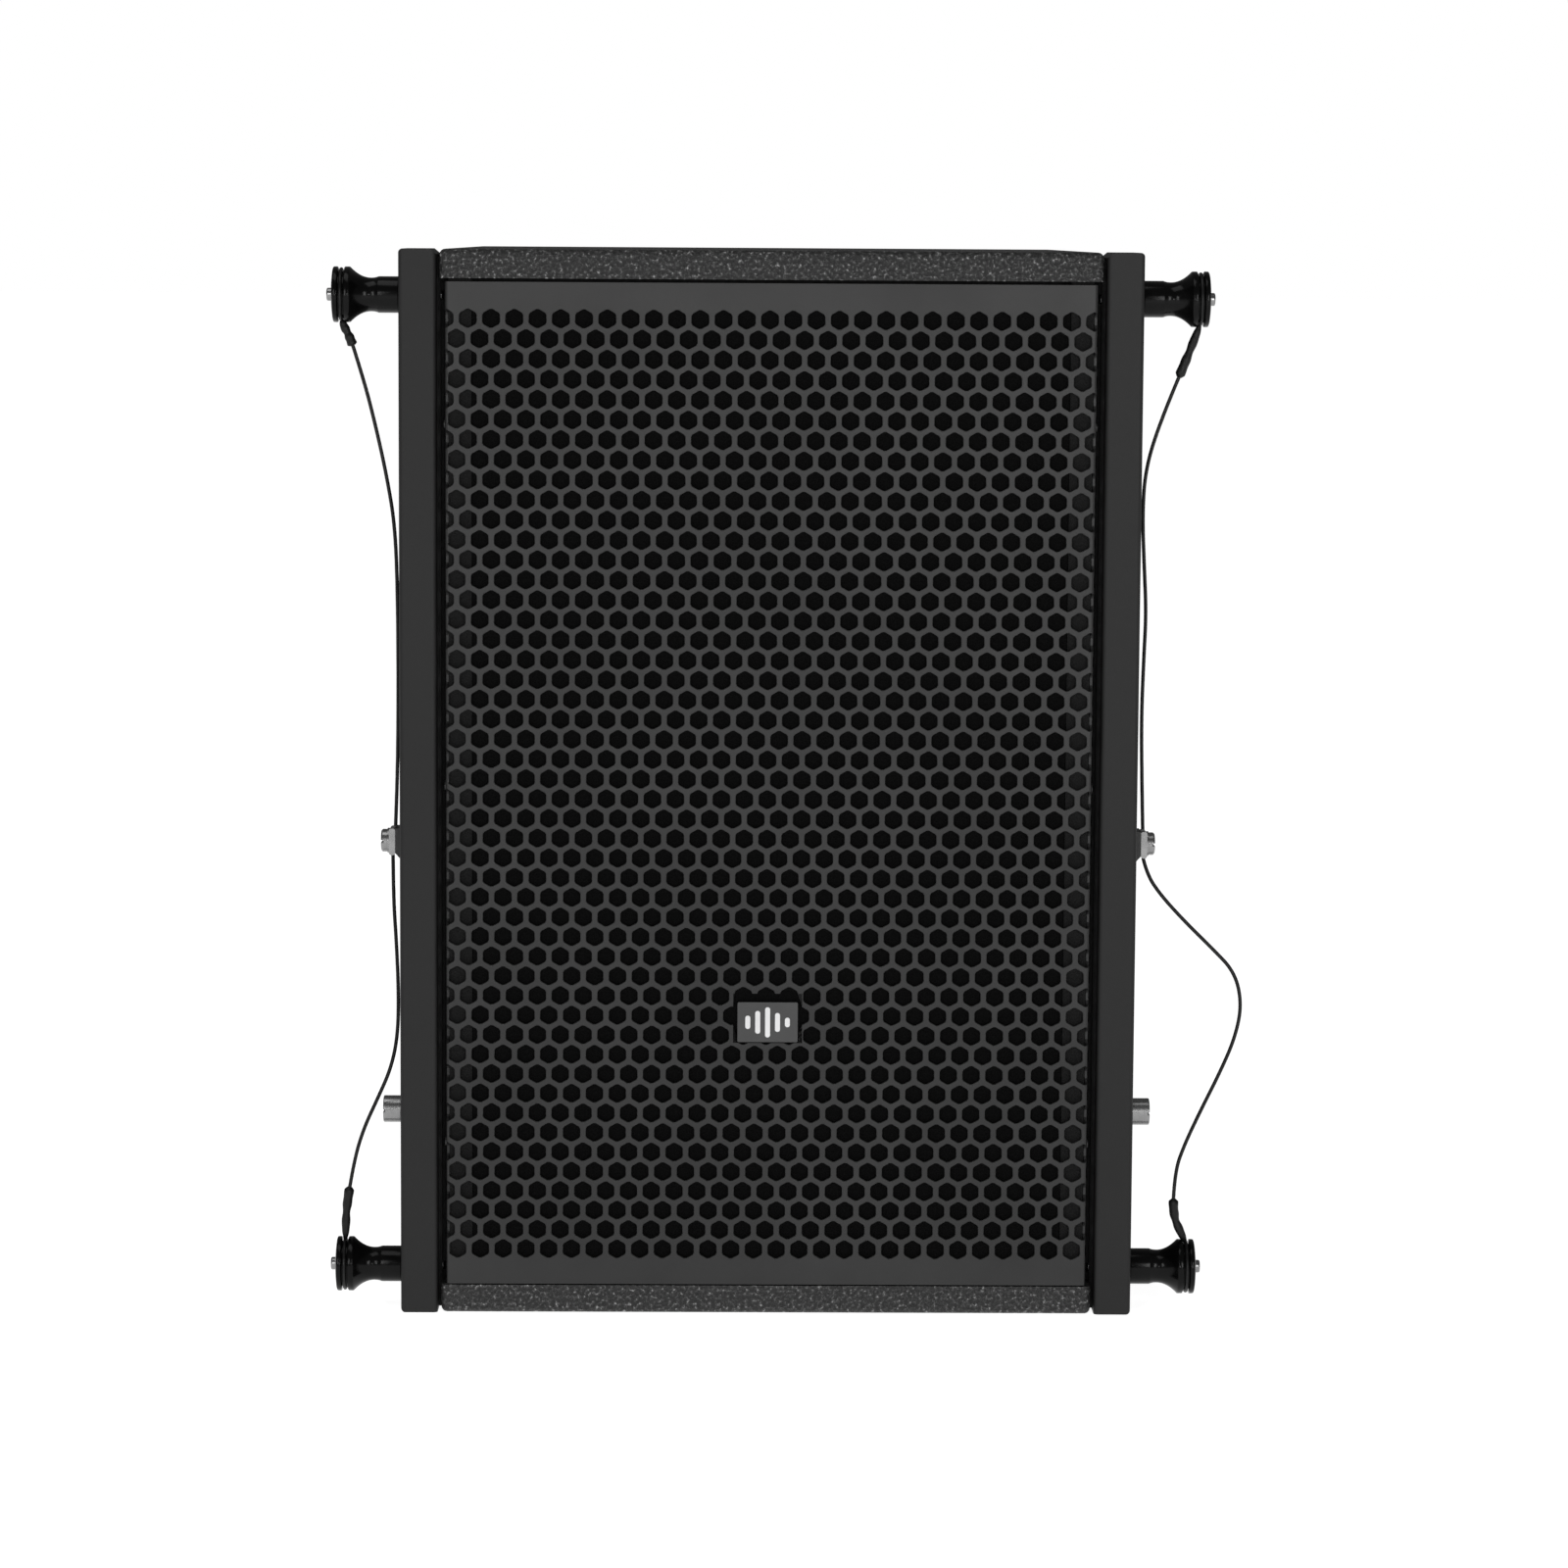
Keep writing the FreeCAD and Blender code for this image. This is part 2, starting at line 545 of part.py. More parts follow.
def dust_cap():
    outline = [(-140, 0), (-139, 14), (-136, 27), (-130.8, 38), (-129.6, 37.4), (-135, 26),
               (-137.9, 13.5), (-138.8, 0)]
    return woofer_turned(outline)


def voice_coil():
    outline = [(-121, 31.9), (-121, 33.1), (-72, 33.1), (-72, 31.9)]
    return woofer_turned(outline)


def woofer_surround():
    """The half-roll between the cone's rim and the flange."""
    outline = [(-177, 121), (-183, 123), (-187, 128), (-183, 133), (-181.6, 136.2), (-180, 136.2),
               (-181.5, 132.3), (-185.4, 128), (-181.8, 124), (-176, 122)]
    return woofer_turned(outline)


def woofer_spider():
    outline = [(-108, 35), (-104, 42), (-108, 49), (-104, 56), (-108, 63), (-106, 73.5), (-104.6, 73.5),
               (-106.6, 63), (-102.6, 56), (-106.6, 49), (-102.6, 42), (-106.6, 35)]
    return woofer_turned(outline)


def rectangle(half_x, half_z, y):
    points = [V(-half_x, y, HORN_Z - half_z), V(half_x, y, HORN_Z - half_z),
              V(half_x, y, HORN_Z + half_z), V(-half_x, y, HORN_Z + half_z)]
    return Part.makePolygon(points + [points[0]])


def waveguide():
    """A cast horn with a rectangular mouth and a narrow slot throat."""
    front, seat = FLANGE_Y
    flange = box((-HORN_WIDTH / 2, HORN_WIDTH / 2), FLANGE_Y,
                 (HORN_Z - HORN_HEIGHT / 2, HORN_Z + HORN_HEIGHT / 2))
    outer = Part.makeLoft([rectangle(128, 76, seat - 1), rectangle(22, 70, -105)], True, True)
    inner = Part.makeLoft([rectangle(124, 72, front - 0.01), rectangle(16, 64, -104.99)], True, True)
    end = box((-45, 45), (-105, -97), (HORN_Z - 72, HORN_Z + 72))
    throat = box((-16, 16), (-106, -96), (HORN_Z - 50, HORN_Z + 50))
    horn = joined([flange, outer, end]).cut(inner).cut(throat)
    for screw in baffle_screw_list(0.1):
        horn = horn.cut(screw)
    return horn


def compression_driver():
    y = -97
    outline = [(y, 0), (y, 58), (y + 12, 62), (y + 40, 62), (y + 48, 55), (y + 48, 0)]
    return turned(outline, V(0, 0, HORN_Z), V(0, 1, 0), V(1, 0, 0))


def baffle_screw_list(slack=0.0):
    """Screws on the woofer's bolt circle and at the horn's corners and sides."""
    screws = []
    y = FLANGE_Y[0]
    for k in range(WOOFER_SCREWS):
        turn = 2 * math.pi * (k + 0.5) / WOOFER_SCREWS
        point = V(WOOFER_BOLTS * math.sin(turn), y - slack, WOOFER_Z + WOOFER_BOLTS * math.cos(turn))
        screws.append(cap_screw(2.5 + slack, 4.5, point, V(0, 1, 0), 18 + 3 * slack, 2.4))
    for x in (-137, 0, 137):
        for z in (-86, 86):
            point = V(x, y - slack, HORN_Z + z)
            screws.append(cap_screw(2.5 + slack, 4.5, point, V(0, 1, 0), 18 + 3 * slack, 2.4))
    return screws


# ---------------------------------------------------------------- rear fittings
def input_plate():
    plate = box((-INPUT_HALF, INPUT_HALF), (BACK, BACK + 3), (INPUT_Z - INPUT_TALL, INPUT_Z + INPUT_TALL))
    plate = rounded(plate, 5.0, lambda e: edge_runs(e, 1))
    for s in (-1, 1):
        x = s * SOCKET_GAP / 2
        plate = plate.cut(rod(12.6, (x, BACK - 1, INPUT_Z), (x, BACK + 4, INPUT_Z)))
    for screw in rear_screw_list(0.1):
        plate = plate.cut(screw)
    return plate


def input_sockets():
    """Two round locking loudspeaker sockets on square flanges."""
    sockets = []
    for s in (-1, 1):
        x = s * SOCKET_GAP / 2
        flange = box((x - 15, x + 15), (BACK + 3, BACK + 5), (INPUT_Z - 15, INPUT_Z + 15))
        flange = rounded(flange, 3.0, lambda e: edge_runs(e, 1))
        barrel = rod(12.5, (x, BACK - 24, INPUT_Z), (x, BACK + 6.5, INPUT_Z))
        hollow = tube(11.4, 5.4, (x, BACK - 18, INPUT_Z), (x, BACK + 8, INPUT_Z))
        pole_cut = rod(6, (x, BACK + 4, INPUT_Z), (x, BACK + 8, INPUT_Z))
        sockets.append(joined([flange, barrel]).cut(hollow).cut(pole_cut))
    return group(sockets)


def clevis(z, hole, width, low, high):
    """A welded bracket: a plate on the back board and two ears."""
    plate = box((-30, 30), (BACK, BACK + 5), (low, high))
    ears = []
    for s in (-1, 1):
        near = s * (ARM_HALF + 0.4)
        ear = box((near, near + s * width), (BACK + 4, PIVOT_Y + 13), (z - 17, z + 17))
        ear = rounded(ear, 10.0, lambda e: edge_runs(e, 0) and e.BoundBox.YMin > PIVOT_Y)
        ears.append(ear)
    whole = joined([plate] + ears)
    whole = whole.cut(rod(hole, (-20, PIVOT_Y, z), (20, PIVOT_Y, z)))
    for screw in rear_screw_list(0.1):
        whole = whole.cut(screw)
    return whole


def rear_arm_bolt():
    """The pivot bolt of the rear arm, with its nut."""
    shank = rod(4.95, (-13.5, PIVOT_Y, ARM_PIVOT_Z), (13.5, PIVOT_Y, ARM_PIVOT_Z))
    ends = []
    for s in (-1, 1):
        cap = box((s * 11.6, s * 16.5), (PIVOT_Y - 7.5, PIVOT_Y + 7.5), (ARM_PIVOT_Z - 7.5, ARM_PIVOT_Z + 7.5))
        ends.append(rounded(cap, 3.0, lambda e: edge_runs(e, 0)))
    return joined([shank] + ends)


def rear_splay_arm():
    """A flat bar that hangs from its pivot; a row of holes sets the splay angle."""
    low = ARM_PIVOT_Z - ARM_LENGTH
    bar = box((-ARM_HALF, ARM_HALF), (PIVOT_Y - 13, PIVOT_Y + 13), (low - 13, ARM_PIVOT_Z + 13))
    bar = rounded(bar, 12.9, lambda e: edge_runs(e, 0))
    bar = bar.cut(rod(5.0, (-10, PIVOT_Y, ARM_PIVOT_Z), (10, PIVOT_Y, ARM_PIVOT_Z)))
    for k in range(4):
        z = low + 17.0 * k
        bar = bar.cut(rod(5.1, (-10, PIVOT_Y, z), (10, PIVOT_Y, z)))
    return bar


def rear_screw_list(slack=0.0):
    """Screws of both brackets and of the input plate."""
    screws = []
    for x in (-22, 22):
        for z in (ARM_PIVOT_Z - 28, ARM_PIVOT_Z - 2, LOW_BRACKET_Z - 24, LOW_BRACKET_Z + 24):
            point = V(x, BACK + 5 + slack, z)
            screws.append(cap_screw(3 + slack, 5.5, point, V(0, -1, 0), 22 + 3 * slack, 3.4))
    for x in (-74, 74):
        for z in (-INPUT_TALL + 6, INPUT_TALL - 6):
            point = V(x, BACK + 3 + slack, INPUT_Z + z)
            screws.append(cap_screw(2 + slack, 3.8, point, V(0, -1, 0), 16 + 3 * slack, 2.4))
    return screws


def crossover_board():
    return box((-80, 80), (60, 175), (PLY + 8, PLY + 10))


def crossover_pillars():
    posts = []
    for x in (-74, 74):
        for y in (66, 169):
            posts.append(rod(4, (x, y, PLY), (x, y, PLY + 8)))
    return group(posts)


def crossover_coils():
    coils = []
    for x, radius in ((-45, 24), (30, 28)):
        coils.append(tube(radius, 9, (x, 115, PLY + 10), (x, 115, PLY + 32)))
    return group(coils)


# ---------------------------------------------------------------- every node
def build():
    parts["top_board"] = lid((CAB_HEIGHT - PLY, CAB_HEIGHT))
    parts["bottom_board"] = lid((0, PLY))
    parts["back_board"] = back_board()
    parts["front_baffle"] = front_baffle()
    parts["grille"] = grille()
    parts["grille_foam"] = box((-SIDE_IN + 0.4, SIDE_IN - 0.4), (FRONT + 1.7, FRONT + 8.4),
                               (PLY + 1, CAB_HEIGHT - PLY - 2))
    parts["badge_plate"] = badge_plate()
    parts["badge_mark"] = badge_mark()
    parts["rail_screws"] = group(rail_screws().Solids + rail_nuts().Solids)
    parts["rail_packers"] = group([rail_packer(s) for s in SIDES.values()])
    for name, side in SIDES.items():
        parts[name + "_side_board"] = side_board(side)
        parts[name + "_side_handle"] = side_handle(side)
        parts[name + "_rail"] = rail(side)
        parts[name + "_link"] = link(side)
        parts[name + "_link_stud"] = link_stud(side)
        for level, z in (("top", TOP_PIN_Z), ("bottom", BOTTOM_PIN_Z)):
            place = level + "_" + name
            parts[place + "_pin_handle"] = pin_handle(side, z)
            parts[place + "_pin_shank"] = pin_shank(side, z)
            parts[place + "_pin_button"] = pin_button(side, z)
            parts[place + "_lanyard_eye"] = pin_eye(side, z, SLEEVES[place], place + "_sleeve")
            parts[place + "_lanyard"] = routed_tube(LANYARDS[place], CORD_RADIUS, place + "_lanyard")
    parts["clip_blocks"] = group([clip_block(s) for s in SIDES.values()])
    parts["lanyard_clips"] = group([lanyard_clip(s) for s in SIDES.values()])
    parts["clip_screws"] = group([clip_screw(s) for s in SIDES.values()])
    parts["woofer_basket"] = woofer_basket()
    parts["woofer_magnet"] = woofer_magnet()
    parts["woofer_cone"] = woofer_cone()
    parts["dust_cap"] = dust_cap()
    parts["voice_coil"] = voice_coil()
    parts["woofer_surround"] = woofer_surround()
    parts["woofer_spider"] = woofer_spider()
    parts["waveguide"] = waveguide()
    parts["compression_driver"] = compression_driver()
    parts["front_screws"] = group(baffle_screw_list() + grille_screws())
    parts["input_plate"] = input_plate()
    parts["input_sockets"] = input_sockets()
    parts["rear_top_bracket"] = clevis(ARM_PIVOT_Z, 5.0, 6.0, ARM_PIVOT_Z - 38, ARM_PIVOT_Z + 8)
    parts["rear_bottom_bracket"] = clevis(LOW_BRACKET_Z, 5.1, 6.0, LOW_BRACKET_Z - 34, LOW_BRACKET_Z + 34)
    parts["rear_splay_arm"] = rear_splay_arm()
    parts["rear_screws"] = group(rear_screw_list() + [rear_arm_bolt()])
    parts["crossover"] = group([crossover_board()] + crossover_pillars().Solids + crossover_coils().Solids)


build()
os.makedirs("parts", exist_ok=True)
for node, shape in parts.items():
    if not shape.isValid():
        print("not valid:", node)
    shape.exportStep("parts/" + node + ".step")
print(len(parts), "nodes")
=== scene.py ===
import math
import bmesh
import bpy
from mathutils import Matrix, Vector
from mathutils.kdtree import KDTree


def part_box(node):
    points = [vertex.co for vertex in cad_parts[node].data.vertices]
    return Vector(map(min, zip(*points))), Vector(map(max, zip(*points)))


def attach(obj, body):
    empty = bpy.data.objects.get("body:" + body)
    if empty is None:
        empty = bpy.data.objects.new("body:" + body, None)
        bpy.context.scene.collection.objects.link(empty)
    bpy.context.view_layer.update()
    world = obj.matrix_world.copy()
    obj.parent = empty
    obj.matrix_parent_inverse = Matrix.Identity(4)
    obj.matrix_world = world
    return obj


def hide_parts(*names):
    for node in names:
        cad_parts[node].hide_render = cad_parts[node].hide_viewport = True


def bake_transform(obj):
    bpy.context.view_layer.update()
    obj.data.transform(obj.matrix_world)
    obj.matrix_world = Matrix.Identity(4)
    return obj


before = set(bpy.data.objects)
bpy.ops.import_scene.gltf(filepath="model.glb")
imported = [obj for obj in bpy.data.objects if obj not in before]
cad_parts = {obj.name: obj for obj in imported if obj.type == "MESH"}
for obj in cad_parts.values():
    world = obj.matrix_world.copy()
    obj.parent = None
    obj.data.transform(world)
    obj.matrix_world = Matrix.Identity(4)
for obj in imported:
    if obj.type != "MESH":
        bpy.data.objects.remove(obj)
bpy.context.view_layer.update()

# ---------------------------------------------------------------- cabinet boards
# Birch plywood, 15 mm, glued and screwed.  Sprayed with a hard structured black
# paint whose grains stand up and run over the edges.  The highest grains are
# coloured light grey, a painted highlight where they catch the light.
MM = 0.001
BOARD_ROUND = 3.0 * MM
PLAIN_DEPTH = 0.2 * MM


def shader(name, roughness, metallic=0.0, coat=0.0, specular=0.5):
    """A new material with its own constants set on the shader, and its node tree."""
    made = bpy.data.materials.new(name)
    made.use_nodes = True
    skin = made.node_tree.nodes["Principled BSDF"]
    skin.inputs["Roughness"].default_value = roughness
    skin.inputs["Metallic"].default_value = metallic
    skin.inputs["Coat Weight"].default_value = coat
    skin.inputs["Specular IOR Level"].default_value = specular
    return made, made.node_tree, skin


def grain(tree, scale, detail=2.0, roughness=0.5):
    """A noise on the piece's own coordinates, in grains per metre."""
    place = tree.nodes.new("ShaderNodeTexCoord")
    noise = tree.nodes.new("ShaderNodeTexNoise")
    noise.inputs["Scale"].default_value = scale
    noise.inputs["Detail"].default_value = detail
    noise.inputs["Roughness"].default_value = roughness
    tree.links.new(place.outputs["Object"], noise.inputs["Vector"])
    return noise.outputs["Fac"]


def ramp(tree, value, stops):
    """Greys spread along a value from 0 to 1."""
    node = tree.nodes.new("ShaderNodeValToRGB")
    node.color_ramp.elements[0].position = stops[0][0]
    node.color_ramp.elements[1].position = stops[-1][0]
    for place, _ in stops[1:-1]:
        node.color_ramp.elements.new(place)
    for element, (_, tone) in zip(node.color_ramp.elements, stops):
        element.color = (tone, tone, tone, 1.0)
    tree.links.new(value, node.inputs["Fac"])
    return node.outputs["Color"]


def bumped(tree, skin, value, depth, strength=1.0):
    """Raises the surface by a value, after any bump that is already there."""
    bump = tree.nodes.new("ShaderNodeBump")
    bump.inputs["Strength"].default_value = strength
    bump.inputs["Distance"].default_value = depth
    tree.links.new(value, bump.inputs["Height"])
    if skin.inputs["Normal"].is_linked:
        tree.links.new(skin.inputs["Normal"].links[0].from_socket, bump.inputs["Normal"])
    tree.links.new(bump.outputs["Normal"], skin.inputs["Normal"])


def blended(tree, mask, first, second):
    """One colour or grey where the mask is 0, another where it is 1."""
    mix = tree.nodes.new("ShaderNodeMix")
    mix.data_type = "RGBA"
    tree.links.new(mask, mix.inputs["Factor"])
    for socket, value in (("A", first), ("B", second)):
        if isinstance(value, float):
            mix.inputs[socket].default_value = (value, value, value, 1.0)
        else:
            tree.links.new(value, mix.inputs[socket])
    return mix.outputs["Result"]


def structured_paint(name, plain_front):
    """The paint; a side board's front tongue, under the grille, is left plain black."""
    made, tree, skin = shader(name, 0.5, specular=0.42)
    coarse = grain(tree, 520.0, 3.0, 0.6)
    fine = grain(tree, 1500.0, 2.0, 0.6)
    soft = grain(tree, 9.0, 2.0)
    # painted highlight: the colour rises to light grey on the highest grains, standing in for the
    # glints they catch
    tone = ramp(tree, coarse, [(0.30, 0.002), (0.50, 0.011), (0.61, 0.060), (0.70, 0.34)])
    shade = tree.nodes.new("ShaderNodeMix")
    shade.data_type = "RGBA"
    shade.blend_type = "MULTIPLY"
    shade.inputs["Factor"].default_value = 0.35
    tree.links.new(tone, shade.inputs["A"])
    tree.links.new(ramp(tree, soft, [(0.3, 0.6), (0.7, 1.0)]), shade.inputs["B"])
    colour = shade.outputs["Result"]
    sheen = ramp(tree, fine, [(0.35, 0.62), (0.70, 0.28)])
    if plain_front:
        place = tree.nodes.new("ShaderNodeTexCoord")
        split = tree.nodes.new("ShaderNodeSeparateXYZ")
        tree.links.new(place.outputs["Object"], split.inputs["Vector"])
        mask = tree.nodes.new("ShaderNodeMath")
        mask.operation = "LESS_THAN"
        mask.inputs[1].default_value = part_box("front_baffle")[0][1] + PLAIN_DEPTH
        tree.links.new(split.outputs["Y"], mask.inputs[0])
        colour = blended(tree, mask.outputs["Value"], colour, 0.0015)
        sheen = blended(tree, mask.outputs["Value"], sheen, 0.95)
    tree.links.new(colour, skin.inputs["Base Color"])
    tree.links.new(sheen, skin.inputs["Roughness"])
    bumped(tree, skin, coarse, 0.0014)
    bumped(tree, skin, fine, 0.0005, 0.8)
    return made


def finished(name, bm, material, body, replaced, sharp):
    """Turns a bmesh into a piece with its material, and hangs it on its body."""
    mesh = bpy.data.meshes.new(name)
    bm.to_mesh(mesh)
    bm.free()
    mesh.shade_smooth()
    mesh.set_sharp_from_angle(angle=math.radians(sharp))
    piece = bpy.data.objects.new(name, mesh)
    bpy.context.scene.collection.objects.link(piece)
    mesh.materials.append(material)
    if replaced:
        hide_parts(*replaced)
    if body:
        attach(piece, body)
    return piece


def dressed(material, *names):
    """Gives CAD nodes that stay as they are their material."""
    for name in names:
        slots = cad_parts[name].data.materials
        if len(slots):
            slots[0] = material
        else:
            slots.append(material)


def block(low, high):
    """A bmesh block between two corners."""
    bm = bmesh.new()
    bmesh.ops.create_cube(bm, size=1.0)
    size = Vector(high) - Vector(low)
    middle = (Vector(high) + Vector(low)) / 2
    bmesh.ops.scale(bm, vec=size, verts=bm.verts)
    bmesh.ops.translate(bm, vec=middle, verts=bm.verts)
    return bm


paint = structured_paint("structured_paint", False)
side_paint = structured_paint("side_board_paint", True)
for board, outer in (("top_board", 1), ("bottom_board", 0)):
    low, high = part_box(board)
    bm = block(low, high)
    face_z = high[2] if outer else low[2]
    rim = [e for e in bm.edges if all(abs(v.co.z - face_z) < 1e-6 for v in e.verts)]
    corners = [e for e in bm.edges if abs(e.verts[0].co.z - e.verts[1].co.z) > 1e-3]
    bmesh.ops.bevel(bm, geom=rim + corners, offset=BOARD_ROUND, segments=4, affect="EDGES",
                    profile=0.5, material=-1, clamp_overlap=True)
    finished(board + "_painted", bm, paint, "root", [board], 60)
dressed(side_paint, "left_side_board", "right_side_board")
dressed(paint, "back_board")

# ---------------------------------------------------------------- front baffle
# The inner plywood board that the drivers are screwed to, set 16 mm back from the
# grille's face.  Rolled with plain matt black so that it stays dark.


def flat_black():
    made, tree, skin = shader("baffle_black", 0.8, specular=0.3)
    speck = grain(tree, 300.0, 3.0)
    tree.links.new(ramp(tree, speck, [(0.3, 0.004), (0.7, 0.012)]), skin.inputs["Base Color"])
    bumped(tree, skin, speck, 0.0003, 0.6)
    return made


matt_black = flat_black()
dressed(matt_black, "front_baffle")

# ---------------------------------------------------------------- grille
# Steel sheet, 1.5 mm, punched with 9 mm hexagons at 12 mm pitch, then folded
# back down both sides and powder coated.  Holes run across the folds.
GRILLE_LOW, GRILLE_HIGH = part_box("grille")
PITCH = 12.0 * MM
ROW = PITCH * math.sqrt(3) / 2
HOLE = 9.0 * MM
SHEET = 1.5 * MM
LIP = 0.25 * MM
LIP_PINCH = HOLE / (HOLE + 2 * LIP)
HOLE_CORNER = 0.75 * MM
FOLD_ROUND = 2.0 * MM
FOLD_STEPS = 3
WINDOW_SIDE = 2.3 * MM
WINDOW_BELOW = 0.5 * MM
WINDOW_ABOVE = 4.6 * MM
HOLE_ROWS = 48
CELLS_EACH_SIDE = 17
JOIN = 0.02 * MM
TINY = 0.001 * MM
PATTERN_X = -0.8 * MM
PATTERN_Z = 278.7 * MM
FACE_Y = GRILLE_LOW[1]
BADGE_LOW, BADGE_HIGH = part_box("badge_plate")


def hexagon(bm, across, y, cut):
    """A capped hexagon with a corner on top; its corners are cut, or its edges halved."""
    loop = bmesh.ops.create_circle(bm, cap_ends=True, segments=6,
                                   radius=across / math.sqrt(3))["verts"]
    bmesh.ops.rotate(bm, verts=loop, cent=(0, 0, 0),
                     matrix=Matrix.Rotation(math.radians(90), 3, "X"))
    bmesh.ops.translate(bm, verts=loop, vec=(0, y, 0))
    face = loop[0].link_faces[0]
    if cut:
        bmesh.ops.bevel(bm, geom=loop, offset=cut, segments=1, affect="VERTICES",
                        profile=0.5, material=-1)
        face = max((f for f in bm.faces if abs(f.verts[0].co.y - y) < 1e-7),
                   key=lambda f: f.calc_area())
    else:
        bmesh.ops.subdivide_edges(bm, edges=face.edges[:], cuts=1)
    return face


def punched_cell():
    """One hexagonal cell of the sheet, with its rounded hole, centred on the origin."""
    bm = bmesh.new()
    hole = hexagon(bm, HOLE + 2 * LIP, 0.0, HOLE_CORNER)
    rims = {"mouth": hole.edges[:]}
    bmesh.ops.delete(bm, geom=[hole], context="FACES_ONLY")
    for name, start, push, pinch in (("throat", "mouth", LIP, LIP_PINCH),
                                     ("back", "throat", SHEET - LIP, 1.0)):
        made = bmesh.ops.extrude_edge_only(bm, edges=rims[start])["geom"]
        rims[name] = [g for g in made if isinstance(g, bmesh.types.BMEdge)]
        moved = [g for g in made if isinstance(g, bmesh.types.BMVert)]
        bmesh.ops.scale(bm, vec=(pinch, 1, pinch), verts=moved)
        bmesh.ops.translate(bm, vec=(0, push, 0), verts=moved)
    known = set(bm.edges)
    plate = hexagon(bm, PITCH, 0.0, 0.0)
    bmesh.ops.delete(bm, geom=[plate], context="FACES_ONLY")
    outline = [e for e in bm.edges if e not in known]
    front = bmesh.ops.bridge_loops(bm, edges=outline + rims["mouth"])["faces"]
    copy = [g for g in bmesh.ops.duplicate(bm, geom=front)["geom"]
            if isinstance(g, bmesh.types.BMVert)]
    bmesh.ops.translate(bm, vec=(0, SHEET, 0), verts=copy)
    rim = [v for v in copy if v.co.xz.length < PITCH * 0.48]
    bmesh.ops.scale(bm, vec=(LIP_PINCH, 1, LIP_PINCH), verts=rim)
    bmesh.ops.remove_doubles(bm, verts=bm.verts, dist=JOIN)
    return bm


def blank_cell():
    """A cell with no hole, for the plain margins above and below."""
    bm = bmesh.new()
    hexagon(bm, PITCH, 0.0, 0.0)
    hexagon(bm, PITCH, SHEET, 0.0)
    return bm


def laid_out(cell, places):
    """A bmesh made of copies of a smaller one, which is used up."""
    pattern = bpy.data.meshes.new("pattern")
    cell.to_mesh(pattern)
    cell.free()
    bm = bmesh.new()
    for place in places:
        before = len(bm.verts)
        bm.from_mesh(pattern)
        bm.verts.ensure_lookup_table()
        bmesh.ops.translate(bm, verts=bm.verts[before:], vec=place)
    bpy.data.meshes.remove(pattern)
    return bm


def merge_in(bm, other):
    """Adds one bmesh to another and frees it."""
    passing = bpy.data.meshes.new("passing")
    other.to_mesh(passing)
    other.free()
    bm.from_mesh(passing)
    bpy.data.meshes.remove(passing)


def close_rim(bm):
    """Joins the ragged outer rim of the front to the same rim behind it."""
    def flat_middle(edge):
        middle = (edge.verts[0].co + edge.verts[1].co) / 2
        return Vector((middle.x, 0, middle.z))
    rims = [e for e in bm.edges if e.is_boundary]
    front = [e for e in rims if e.verts[0].co.y < FACE_Y + SHEET / 2]
    near = KDTree(len(front))
    for k, edge in enumerate(front):
        near.insert(flat_middle(edge), k)
    near.balance()
    for edge in rims:
        if edge.verts[0].co.y > FACE_Y + SHEET / 2:
            a, b = front[near.find(flat_middle(edge))[1]].verts
            c, d = edge.verts
            if (a.co.xz - c.co.xz).length < (a.co.xz - d.co.xz).length:
                c, d = d, c
            bm.faces.new((a, b, c, d))


def sliced(bm, point, outward, faces=None):
    """Cuts chosen faces, or every one, along a plane."""
    faces = faces or bm.faces[:]
    edges = {e for f in faces for e in f.edges}
    verts = {v for f in faces for v in f.verts}
    bmesh.ops.bisect_plane(bm, geom=[*verts, *edges, *faces], dist=TINY, plane_co=point,
                           plane_no=outward)


def removed(bm, unwanted):
    """Takes away faces and closes the cut metal."""
    bmesh.ops.delete(bm, geom=[f for f in bm.faces if unwanted(f.calc_center_median())],
                     context="FACES")
    bmesh.ops.holes_fill(bm, edges=[e for e in bm.edges if e.is_boundary], sides=0)


